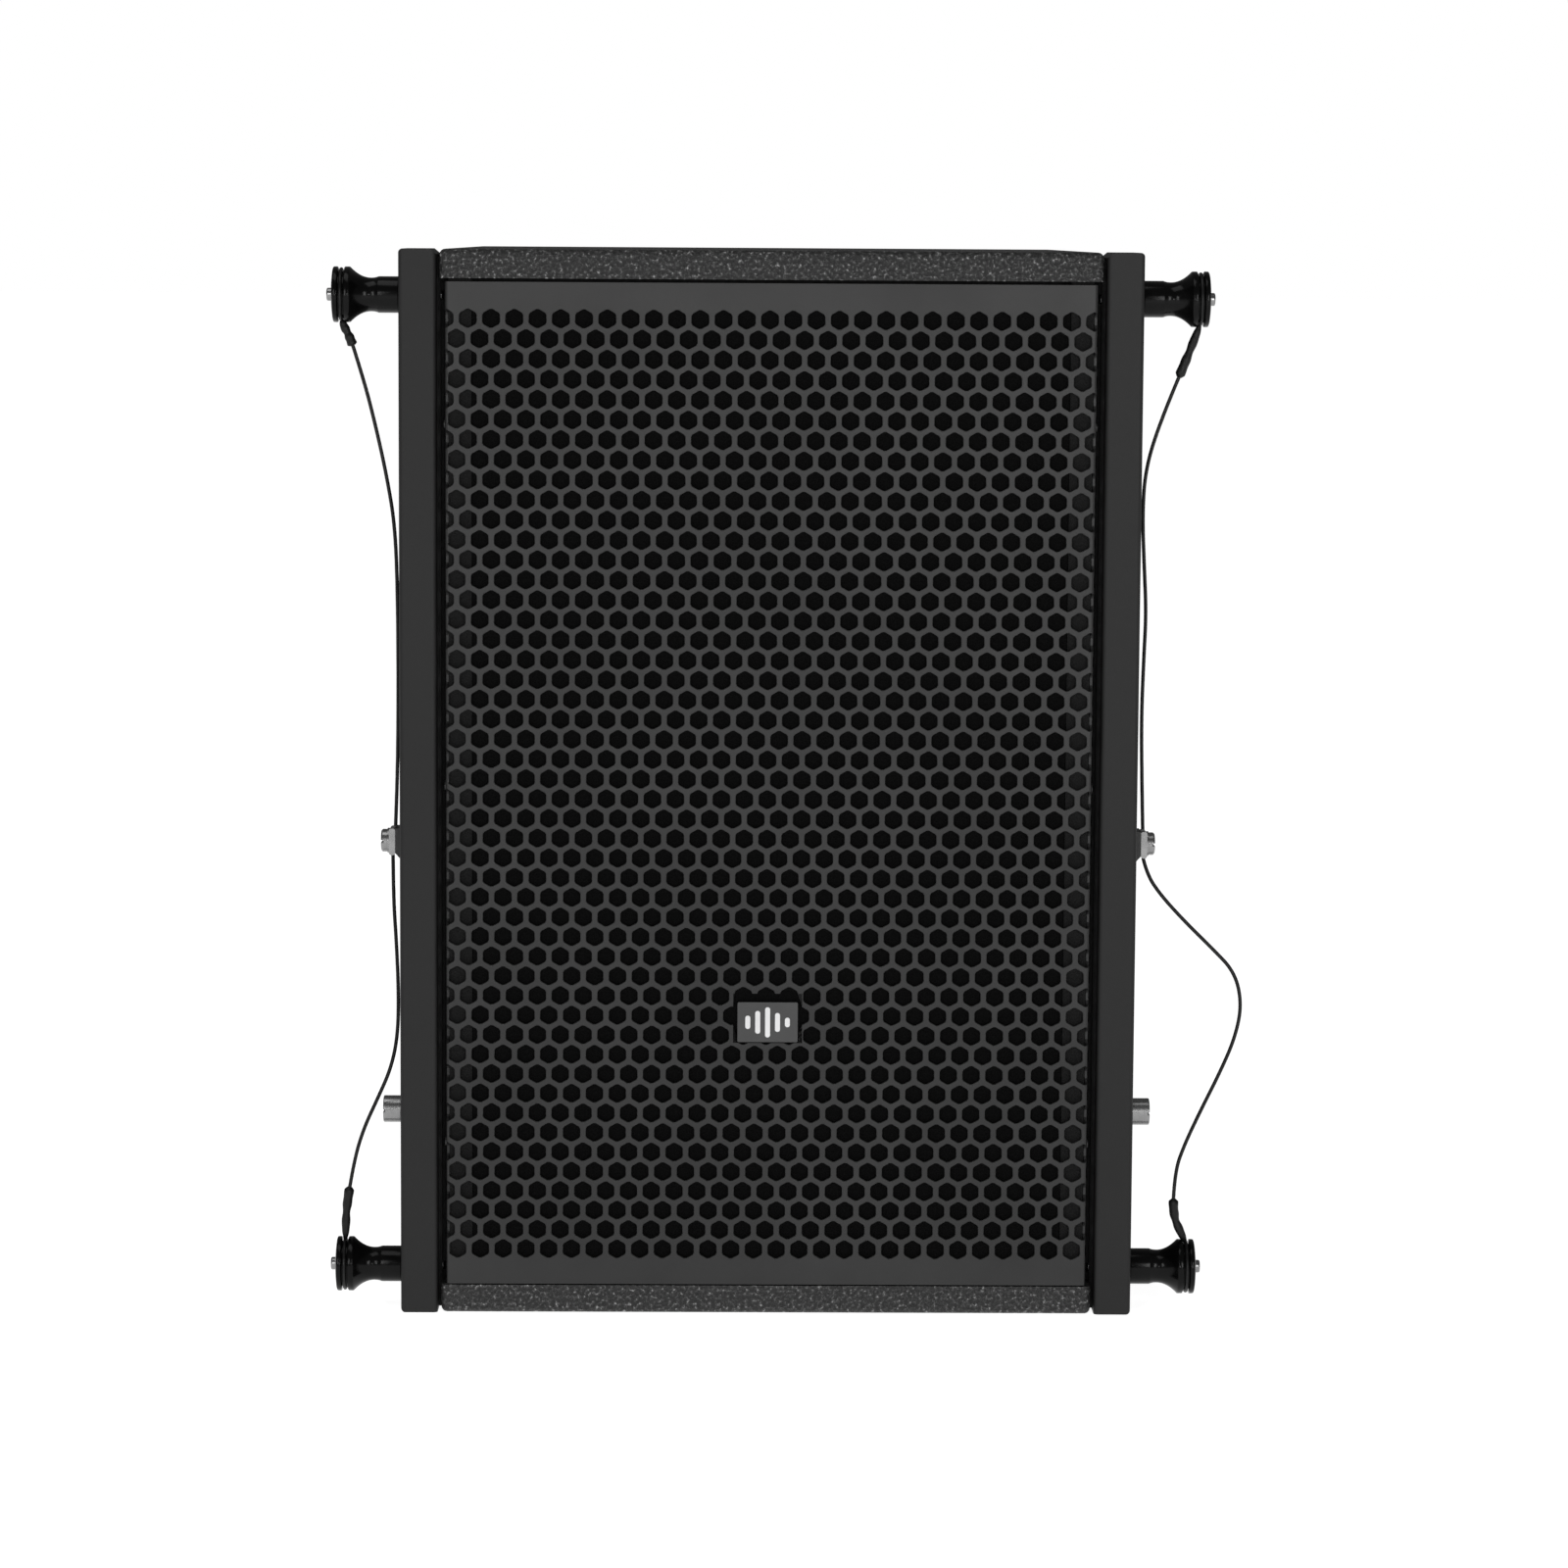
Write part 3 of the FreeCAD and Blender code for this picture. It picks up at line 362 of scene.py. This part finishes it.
def grille_sheet():
    """The flat punched sheet first, then its trimmed edges, the badge window and the folds."""
    across = range(-CELLS_EACH_SIDE, CELLS_EACH_SIDE + 1)
    rows = [PATTERN_Z + ((HOLE_ROWS - 1) / 2 - row) * ROW for row in range(-2, HOLE_ROWS + 2)]
    bm = bmesh.new()
    for odd in (0, 1):
        shift = PATTERN_X + odd * PITCH / 2
        punched = laid_out(punched_cell(), [(shift + k * PITCH, FACE_Y, 0) for k in across])
        blank = laid_out(blank_cell(), [(shift + k * PITCH, FACE_Y, 0) for k in across])
        merge_in(bm, laid_out(punched, [(0, 0, z) for z in rows[2 + odd:-2:2]]))
        merge_in(bm, laid_out(blank, [(0, 0, z) for z in (rows[odd], rows[-2 + odd])]))
    bmesh.ops.remove_doubles(bm, verts=bm.verts, dist=JOIN)
    close_rim(bm)

    # trim to the pan's height, and to the width of the sheet before it is folded
    fold = math.radians(90 / FOLD_STEPS)
    step = FOLD_ROUND * fold
    lean = step * sum(math.cos(k * fold) for k in range(1, FOLD_STEPS))
    sink = step * sum(math.sin(k * fold) for k in range(1, FOLD_STEPS))
    fold_x = GRILLE_HIGH[0] - lean
    edge_x = fold_x + (FOLD_STEPS - 1) * step + (GRILLE_HIGH[1] - FACE_Y) - sink
    sliced(bm, (0, 0, GRILLE_HIGH[2]), (0, 0, 1))
    removed(bm, lambda m: m.z > GRILLE_HIGH[2] + TINY)
    sliced(bm, (0, 0, GRILLE_LOW[2]), (0, 0, -1))
    removed(bm, lambda m: m.z < GRILLE_LOW[2] - TINY)
    for side in (1, -1):
        sliced(bm, (side * edge_x, 0, 0), (side, 0, 0))
        removed(bm, lambda m: m.x * side > edge_x + TINY)

    # the window that the badge sits in
    left, right = BADGE_LOW[0] - WINDOW_SIDE, BADGE_HIGH[0] + WINDOW_SIDE
    low, high = BADGE_LOW[2] - WINDOW_BELOW, BADGE_HIGH[2] + WINDOW_ABOVE
    for point, outward in (((left, 0, 0), (-1, 0, 0)), ((right, 0, 0), (1, 0, 0)),
                           ((0, 0, low), (0, 0, -1)), ((0, 0, high), (0, 0, 1))):
        near = [f for f in bm.faces
                if left - PITCH < f.calc_center_median().x < right + PITCH
                and low - PITCH < f.calc_center_median().z < high + PITCH]
        sliced(bm, point, outward, near)
    removed(bm, lambda m: left < m.x < right and low < m.z < high)
    bmesh.ops.recalc_face_normals(bm, faces=bm.faces)

    # fold both sides back in steps
    for side in (1, -1):
        for k in range(FOLD_STEPS):
            sliced(bm, (side * (fold_x + k * step), 0, 0), (side, 0, 0))
        away = {v: v.co.x * side - fold_x for v in bm.verts}
        pivot = Vector((side * fold_x, FACE_Y, 0))
        heading = Vector((side * step, 0, 0))
        turn = Matrix.Rotation(fold * side, 3, "Z")
        for k in range(FOLD_STEPS):
            beyond = [v for v, distance in away.items() if distance > k * step + 2 * TINY]
            bmesh.ops.rotate(bm, verts=beyond, cent=pivot, matrix=turn)
            heading = turn @ heading
            pivot = pivot + heading
    return bm


def powder_black():
    made, tree, skin = shader("grille_powder_coat", 0.42, specular=0.36)
    orange_peel = grain(tree, 700.0, 2.0)
    dust = grain(tree, 2600.0, 1.0)
    wear = grain(tree, 14.0, 4.0, 0.6)
    tree.links.new(ramp(tree, wear, [(0.3, 0.009), (0.7, 0.017)]), skin.inputs["Base Color"])
    tree.links.new(ramp(tree, dust, [(0.3, 0.30), (0.7, 0.44)]), skin.inputs["Roughness"])
    bumped(tree, skin, orange_peel, 0.00006)
    bumped(tree, skin, dust, 0.00002)
    return made


grille_coat = powder_black()
finished("grille_sheet", grille_sheet(), grille_coat, "root", ["grille"], 25)

# ---------------------------------------------------------------- foam behind the grille
# Open-cell black foam, nearly 7 mm thick and as wide as the cabinet's inside,
# glued to the back of the grille sheet.  It hides the drivers.


def open_foam():
    made, tree, skin = shader("open_cell_foam", 0.95, specular=0.1)
    cells = tree.nodes.new("ShaderNodeTexVoronoi")
    place = tree.nodes.new("ShaderNodeTexCoord")
    cells.inputs["Scale"].default_value = 900.0
    tree.links.new(place.outputs["Object"], cells.inputs["Vector"])
    # painted shade: each foam cell is coloured darker towards its sunken middle, the shade in its
    # pore
    tree.links.new(ramp(tree, cells.outputs["Distance"], [(0.0, 0.0004), (0.8, 0.002)]),
                   skin.inputs["Base Color"])
    bumped(tree, skin, cells.outputs["Distance"], 0.0004)
    return made


dressed(open_foam(), "grille_foam")

# ---------------------------------------------------------------- badge
# A small satin enamelled plate that sits in the grille's window, with five
# raised bars in pale enamel.


def satin_enamel(name, dark, light):
    made, tree, skin = shader(name, 0.35, coat=0.2)
    cloud = grain(tree, 60.0, 3.0)
    dust = grain(tree, 1800.0, 2.0)
    tree.links.new(ramp(tree, cloud, [(0.3, dark), (0.7, light)]), skin.inputs["Base Color"])
    tree.links.new(ramp(tree, dust, [(0.3, 0.30), (0.7, 0.42)]), skin.inputs["Roughness"])
    bumped(tree, skin, dust, 0.00002)
    return made


dressed(satin_enamel("badge_enamel", 0.020, 0.026), "badge_plate")
dressed(satin_enamel("badge_print", 0.72, 0.80), "badge_mark")

# ---------------------------------------------------------------- rigging rails
# Milled steel rails, satin black powder coat, hollow at both ends for the links
# and bolted to the cabinet's sides.  The rear brackets and arm match them, and
# matt black strips pack the gaps between rails and cabinet.


def satin_powder():
    made, tree, skin = shader("rail_powder_coat", 0.5, specular=0.24)
    peel = grain(tree, 420.0, 3.0, 0.6)
    dust = grain(tree, 3000.0, 1.0)
    cloud = grain(tree, 22.0, 4.0, 0.6)
    tree.links.new(ramp(tree, cloud, [(0.3, 0.009), (0.7, 0.013)]), skin.inputs["Base Color"])
    tree.links.new(ramp(tree, cloud, [(0.3, 0.46), (0.7, 0.56)]), skin.inputs["Roughness"])
    bumped(tree, skin, peel, 0.00010)
    bumped(tree, skin, dust, 0.00003)
    return made


rail_coat = satin_powder()
dressed(rail_coat, "left_rail", "right_rail", "rear_top_bracket", "rear_bottom_bracket",
        "rear_splay_arm")
dressed(matt_black, "rail_packers")

# ---------------------------------------------------------------- screws and links
# Zinc-plated steel: the links inside the rails, their clamp studs, the lanyard
# clips and the outer screws.  Screws that sit among black parts are black oxide.


def plated(name, tone, roughness):
    made, tree, skin = shader(name, roughness, metallic=1.0)
    cloud = grain(tree, 120.0, 3.0)
    scratch = grain(tree, 1600.0, 2.0)
    tree.links.new(ramp(tree, cloud, [(0.3, tone * 0.8), (0.7, tone)]), skin.inputs["Base Color"])
    tree.links.new(ramp(tree, scratch, [(0.3, roughness - 0.04), (0.7, roughness + 0.05)]),
                   skin.inputs["Roughness"])
    bumped(tree, skin, scratch, 0.000003)
    return made


bright_zinc = plated("bright_zinc", 0.27, 0.27)
dull_zinc = plated("dull_zinc", 0.45, 0.42)
black_oxide = plated("black_oxide", 0.06, 0.45)
dressed(bright_zinc, "rear_screws", "left_link_stud", "right_link_stud", "clip_screws",
        "lanyard_clips")
dressed(dull_zinc, "left_link", "right_link")
dressed(black_oxide, "rail_screws", "front_screws")

# ---------------------------------------------------------------- moulded plastic
# Glass-filled nylon, spark-textured in the mould: cup handles, clip blocks, the
# input sockets and the horn.


def moulded_black():
    made, tree, skin = shader("moulded_nylon", 0.55)
    spark = grain(tree, 1300.0, 2.0, 0.6)
    cloud = grain(tree, 18.0, 3.0)
    tree.links.new(ramp(tree, cloud, [(0.3, 0.010), (0.7, 0.016)]), skin.inputs["Base Color"])
    tree.links.new(ramp(tree, spark, [(0.3, 0.45), (0.7, 0.65)]), skin.inputs["Roughness"])
    bumped(tree, skin, spark, 0.00012)
    return made


nylon = moulded_black()
dressed(nylon, "left_side_handle", "right_side_handle", "clip_blocks", "input_sockets",
        "waveguide")

# ---------------------------------------------------------------- drivers and crossover
# Shut inside the cabinet: cast basket, ferrite magnet, pressed pulp cone, horn
# driver and the board with its coils.
dressed(rail_coat, "woofer_basket", "input_plate")
dressed(dull_zinc, "woofer_magnet", "compression_driver", "voice_coil")


def pressed_pulp():
    made, tree, skin = shader("pressed_pulp", 0.85, specular=0.2)
    fibre = grain(tree, 500.0, 4.0, 0.7)
    tree.links.new(ramp(tree, fibre, [(0.3, 0.008), (0.7, 0.022)]), skin.inputs["Base Color"])
    bumped(tree, skin, fibre, 0.0003)
    return made


pulp = pressed_pulp()
dressed(pulp, "woofer_cone", "dust_cap", "woofer_surround", "woofer_spider")
dressed(satin_enamel("circuit_board", 0.02, 0.05), "crossover")

# ---------------------------------------------------------------- quick-release pins
# Black anodised aluminium grips, turned from bar: barrel, waist, flare and two
# discs with a groove between them for the lanyard's eye.  Steel shank and button.
PIN_PLACES = ("top_left", "top_right", "bottom_left", "bottom_right")
TURNS = 72


def lathe(profile, start, side):
    """Turns (distance, radius) pairs in mm round an X axis that points outward."""
    bm = bmesh.new()
    rim = [bm.verts.new((start[0] + side * s * MM, start[1], start[2] + r * MM))
           for s, r in profile]
    edges = [bm.edges.new(pair) for pair in zip(rim, rim[1:])]
    bmesh.ops.spin(bm, geom=rim + edges, cent=start, axis=(1, 0, 0), angle=2 * math.pi,
                   steps=TURNS, use_merge=True)
    bmesh.ops.remove_doubles(bm, verts=bm.verts, dist=1e-6)
    bmesh.ops.recalc_face_normals(bm, faces=bm.faces)
    return bm


def grip_profile():
    """(distance, radius) in mm: bore, barrel, flared waist, first disc, groove, last disc."""
    waist, lip = (14.6, 8.75), (25.4, 14.1)
    outline = [(26.3, 3.5), (0.0, 3.9), (0.0, 8.7), (0.25, 9.15), (0.7, 9.5), (10.6, 9.5),
               (11.1, 9.42), (11.6, 9.2), (13.0, 8.86)]
    for k in range(13):
        t = k / 12
        outline.append((waist[0] + (lip[0] - waist[0]) * t,
                        waist[1] + (lip[1] - waist[1]) * t ** 2.1))
    outline += [(25.7, 14.35), (26.1, 14.45), (28.0, 14.45), (28.4, 14.3), (28.6, 13.9),
                (28.65, 12.2), (28.9, 12.0), (31.6, 12.0), (31.85, 12.2), (31.9, 14.0),
                (32.1, 14.4), (32.5, 14.5), (33.9, 14.45), (34.3, 14.25), (34.6, 13.6),
                (35.0, 10.5), (35.2, 7.0), (35.3, 4.3), (35.2, 3.8), (34.9, 3.5), (26.3, 3.5)]
    return outline


def gloss_anodised():
    made, tree, skin = shader("gloss_black_anodised", 0.2, specular=0.12)
    cloud = grain(tree, 90.0, 3.0)
    turned = grain(tree, 2200.0, 1.0)
    tree.links.new(ramp(tree, cloud, [(0.3, 0.0012), (0.7, 0.0030)]), skin.inputs["Base Color"])
    tree.links.new(ramp(tree, turned, [(0.3, 0.12), (0.7, 0.22)]), skin.inputs["Roughness"])
    bumped(tree, skin, turned, 0.000012)
    return made


grip_black = gloss_anodised()
dressed(bright_zinc, *[place + "_pin_shank" for place in PIN_PLACES])
for place in PIN_PLACES:
    side = -1 if "left" in place else 1
    low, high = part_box(place + "_pin_handle")
    axis_y, axis_z = (low[1] + high[1]) / 2, (low[2] + high[2]) / 2
    root_x = high[0] if side < 0 else low[0]
    finished(place + "_grip", lathe(grip_profile(), (root_x, axis_y, axis_z), side), grip_black,
             place + "_pin", [place + "_pin_handle"], 35)
    low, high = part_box(place + "_pin_button")
    near, far = (high[0], low[0]) if side < 0 else (low[0], high[0])
    length = abs(far - near) / MM
    button = [(0, 0), (0, 3.38), (length - 1.0, 3.38), (length - 0.6, 3.3), (length - 0.25, 3.0),
              (length - 0.1, 2.4), (length, 1.2), (length, 0)]
    finished(place + "_button_cap", lathe(button, (near, axis_y, axis_z), side), bright_zinc,
             place + "_button", [place + "_pin_button"], 35)

# ---------------------------------------------------------------- lanyards
# Black plastic-coated steel cable, 2 mm.  One end is held in the clip on the
# rail; the other is crimped in a shrink sleeve round the pin's grip.
ROUTES = {
    "top_left": [
        (-196.0, -182.0, 256.6), (-194.9, -180.5, 286.0), (-194.6, -178.8, 330.0),
        (-194.7, -179.6, 376.0), (-195.8, -181.3, 414.0), (-200.2, -181.8, 441.0),
        (-206.2, -181.0, 468.0), (-211.9, -180.3, 490.0), (-217.6, -180.0, 508.0)],
    "top_right": [
        (197.2, -182.0, 256.6), (196.4, -181.2, 284.0), (195.8, -180.4, 316.0),
        (196.6, -180.0, 346.0), (197.5, -180.6, 371.0), (196.0, -181.3, 396.0),
        (194.7, -181.7, 422.0), (195.9, -181.3, 446.0), (203.4, -180.4, 471.0),
        (212.8, -180.0, 494.0)],
    "bottom_left": [
        (-197.4, -182.0, 241.4), (-197.3, -181.5, 218.0), (-195.7, -182.0, 194.0),
        (-194.6, -183.5, 168.0), (-194.9, -186.0, 146.0), (-198.2, -189.0, 129.0),
        (-205.2, -190.4, 113.0), (-212.6, -187.6, 97.0), (-218.0, -183.6, 80.0),
        (-220.9, -181.5, 63.5)],
    "bottom_right": [
        (197.6, -182.0, 241.4), (199.8, -182.6, 232.6), (207.0, -184.0, 222.0),
        (219.5, -186.0, 208.5), (234.0, -188.0, 194.5), (246.2, -189.5, 182.0),
        (250.2, -190.0, 165.0), (247.0, -189.5, 147.0), (239.4, -188.0, 128.0),
        (230.0, -186.5, 108.0), (221.6, -184.2, 88.5), (217.0, -181.6, 73.5),
        (216.6, -180.6, 58.5)]}
SLEEVES = {
    "top_left": [(-217.6, -180.0, 508.0), (-219.6, -180.0, 513.4), (-222.4, -180.0, 518.4)],
    "top_right": [(212.8, -180.0, 494.0), (217.5, -179.8, 505.6), (222.3, -179.9, 518.2)],
    "bottom_left": [(-220.9, -181.5, 63.5), (-222.8, -180.1, 52.8), (-223.3, -180.0, 38.6)],
    "bottom_right": [(216.6, -180.6, 58.5), (216.5, -180.0, 49.5), (221.4, -180.0, 38.8)]}
CABLE = 1.0 * MM
CABLE_LAY = 9.0 * MM
STRANDS = 7
CABLE_RING = 21
SLEEVE_RING = 24
GROOVE_OUT = 30.3 * MM
EYE_RADIUS = 13.1 * MM
EYE_WIRE = 0.95 * MM
SLEEVE_TOE = 12.9


def spline_points(name, route, smoothness):
    """Points along a smooth NURBS line whose control points are the route."""
    line = bpy.data.curves.new(name, "CURVE")
    line.dimensions = "3D"
    line.resolution_u = smoothness
    spline = line.splines.new("NURBS")
    spline.points.add(len(route) - 1)
    for point, place in zip(spline.points, route):
        point.co = (place[0] * MM, place[1] * MM, place[2] * MM, 1.0)
    spline.order_u = 3
    spline.use_endpoint_u = True
    holder = bpy.data.objects.new(name, line)
    mesh = bpy.data.meshes.new_from_object(holder)
    points = [v.co.copy() for v in mesh.vertices]
    bpy.data.objects.remove(holder)
    bpy.data.meshes.remove(mesh)
    bpy.data.curves.remove(line)
    return points


def matching(verts, made):
    """The extruded copy of each vertex."""
    fresh = {g for g in made if isinstance(g, bmesh.types.BMVert)}
    return [next(e.other_vert(v) for e in v.link_edges if e.other_vert(v) in fresh)
            for v in verts]


def swept(points, radius_at, ring, lobes=0):
    """A closed tube: a ring is extruded from point to point along a line."""
    bm = bmesh.new()
    heading = (points[1] - points[0]).normalized()
    across = heading.orthogonal().normalized()
    travelled = 0.0
    total = sum((b - a).length for a, b in zip(points, points[1:]))

    def shape_ring(verts, centre, heading, across, travelled):
        other = heading.cross(across)
        for k, v in enumerate(verts):
            turn = 2 * math.pi * k / ring
            radius = radius_at(travelled / total)
            if lobes:
                swirl = lobes * (turn - 2 * math.pi * travelled / CABLE_LAY)
                radius *= 0.93 + 0.07 * abs(math.cos(swirl / 2))
            v.co = centre + across * (radius * math.cos(turn)) + other * (radius * math.sin(turn))

    verts = bmesh.ops.create_circle(bm, cap_ends=True, segments=ring, radius=1.0)["verts"]
    rim = bm.edges[:]
    shape_ring(verts, points[0], heading, across, 0.0)
    for before, here in zip(points, points[1:]):
        travelled += (here - before).length
        heading = (here - before).normalized()
        across = (across - heading * across.dot(heading)).normalized()
        made = bmesh.ops.extrude_edge_only(bm, edges=rim)["geom"]
        rim = [g for g in made if isinstance(g, bmesh.types.BMEdge)]
        verts = matching(verts, made)
        shape_ring(verts, here, heading, across, travelled)
    bmesh.ops.contextual_create(bm, geom=rim)
    bmesh.ops.recalc_face_normals(bm, faces=bm.faces)
    return bm


def sleeve_radius(t):
    """The sleeve's radius along its length: crumpled, open at the cable, pinched at the eye."""
    belly = 2.35 + 0.25 * math.sin(9 * t) + 0.15 * math.sin(23 * t)
    mouth = min(1.0, 0.55 + t * 9)
    tail = 1.0 if t < 0.72 else max(0.45, 1.0 - (t - 0.72) * 2.2)
    return belly * mouth * tail * MM


def cable_jacket():
    made, tree, skin = shader("cable_jacket", 0.32, specular=0.2)
    cloud = grain(tree, 260.0, 3.0)
    scuff = grain(tree, 1900.0, 2.0)
    tree.links.new(ramp(tree, cloud, [(0.3, 0.004), (0.7, 0.009)]), skin.inputs["Base Color"])
    tree.links.new(ramp(tree, scuff, [(0.3, 0.25), (0.7, 0.42)]), skin.inputs["Roughness"])
    bumped(tree, skin, scuff, 0.00002)
    return made


def shrink_sleeve():
    made, tree, skin = shader("shrink_sleeve", 0.4, specular=0.2)
    crease = grain(tree, 330.0, 3.0, 0.6)
    # painted shade: the colour darkens where the crease noise sinks the surface, the shade in the
    # creases
    tree.links.new(ramp(tree, crease, [(0.3, 0.004), (0.7, 0.010)]), skin.inputs["Base Color"])
    tree.links.new(ramp(tree, crease, [(0.3, 0.34), (0.7, 0.50)]), skin.inputs["Roughness"])
    bumped(tree, skin, crease, 0.00035)
    return made


jacket = cable_jacket()
sleeve_skin = shrink_sleeve()
for place in PIN_PLACES:
    side = -1 if "left" in place else 1
    path = spline_points(place + "_route", ROUTES[place], 30)
    cable = finished(place + "_cable", swept(path, lambda t: CABLE, CABLE_RING, STRANDS), jacket,
                     None, [place + "_lanyard"], 70)
    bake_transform(cable)

    # the eye in the grip's groove and the sleeve that is crimped over its ends
    low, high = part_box(place + "_pin_handle")
    centre = Vector(((high[0] if side < 0 else low[0]) + side * GROOVE_OUT,
                     (low[1] + high[1]) / 2, (low[2] + high[2]) / 2))
    top = centre + Vector((0, 0, EYE_RADIUS))
    eye = bmesh.new()
    ring = bmesh.ops.create_circle(eye, segments=12, radius=EYE_WIRE)["verts"]
    bmesh.ops.translate(eye, verts=ring, vec=top)
    bmesh.ops.rotate(eye, verts=ring, cent=top,
                     matrix=Matrix.Rotation(math.radians(90), 3, "X"))
    bmesh.ops.spin(eye, geom=eye.verts[:] + eye.edges[:], cent=centre, axis=(1, 0, 0),
                   angle=2 * math.pi, steps=TURNS, use_merge=True)
    bmesh.ops.recalc_face_normals(eye, faces=eye.faces)
    finished(place + "_cable_eye", eye, jacket, place + "_pin", [], 70)

    up = 1 if "top" in place else -1
    toe = (centre.x / MM, centre.y / MM, centre.z / MM - up * SLEEVE_TOE)
    line = spline_points(place + "_sleeve_route", SLEEVES[place] + [toe], 10)
    finished(place + "_sleeve", swept(line, sleeve_radius, SLEEVE_RING), sleeve_skin,
             place + "_pin", [place + "_lanyard_eye"], 60)

# ---------------------------------------------------------------- floor, light and camera
# A pale floor and a white surround, two tall soft boxes at the front, a wide one
# overhead, a small one straight ahead, and the camera.
LIT_POINT = (0, 0, 0.3)
floor_bm = bmesh.new()
bmesh.ops.create_grid(floor_bm, x_segments=1, y_segments=1, size=40.0)
floor_mesh = bpy.data.meshes.new("floor")
floor_bm.to_mesh(floor_mesh)
floor_bm.free()
floor = bpy.data.objects.new("floor", floor_mesh)
bpy.context.scene.collection.objects.link(floor)
pale, _, pale_skin = shader("pale_floor", 0.9, specular=0.1)
pale_skin.inputs["Base Color"].default_value = (0.90, 0.90, 0.90, 1.0)
pale_skin.inputs["Emission Color"].default_value = (1.0, 1.0, 1.0, 1.0)
pale_skin.inputs["Emission Strength"].default_value = 0.88
floor_mesh.materials.append(pale)

world = bpy.data.worlds.new("white_room")
bpy.context.scene.world = world
world.use_nodes = True
surround = world.node_tree.nodes["Background"]
surround.inputs["Color"].default_value = (1.0, 1.0, 1.0, 1.0)
seen = world.node_tree.nodes.new("ShaderNodeLightPath")
level = world.node_tree.nodes.new("ShaderNodeMapRange")
level.inputs["To Min"].default_value = 0.15
level.inputs["To Max"].default_value = 1.0
world.node_tree.links.new(seen.outputs["Is Camera Ray"], level.inputs["Value"])
world.node_tree.links.new(level.outputs["Result"], surround.inputs["Strength"])


def soft_light(name, place, width, height, power):
    """An area light at a place, facing the middle of the cabinet."""
    lamp = bpy.data.lights.new(name, "AREA")
    lamp.shape = "RECTANGLE"
    lamp.size = width
    lamp.size_y = height
    lamp.energy = power
    holder = bpy.data.objects.new(name, lamp)
    bpy.context.scene.collection.objects.link(holder)
    aim = Vector(LIT_POINT) - Vector(place)
    holder.location = place
    holder.rotation_euler = aim.to_track_quat("-Z", "Y").to_euler()


soft_light("left_box", (-1.05, -2.9, 0.95), 0.45, 1.1, 13.0)
soft_light("right_box", (1.05, -2.9, 0.85), 0.45, 1.1, 16.0)
soft_light("overhead", (-0.4, -0.6, 2.6), 1.6, 1.2, 11.0)
soft_light("front", (0.0, -3.4, 0.60), 0.22, 0.16, 4.0)

camera_data = bpy.data.cameras.new("camera")
camera_data.sensor_width = 36.0
camera_data.lens = 111.09
camera = bpy.data.objects.new("camera", camera_data)
bpy.context.scene.collection.objects.link(camera)
camera.location = (-0.0235, -2.7093, 0.5686)
camera.rotation_euler = [math.radians(a) for a in (83.48, -0.35, -0.676)]
bpy.context.scene.camera = camera
bpy.context.scene.view_settings.view_transform = "Standard"
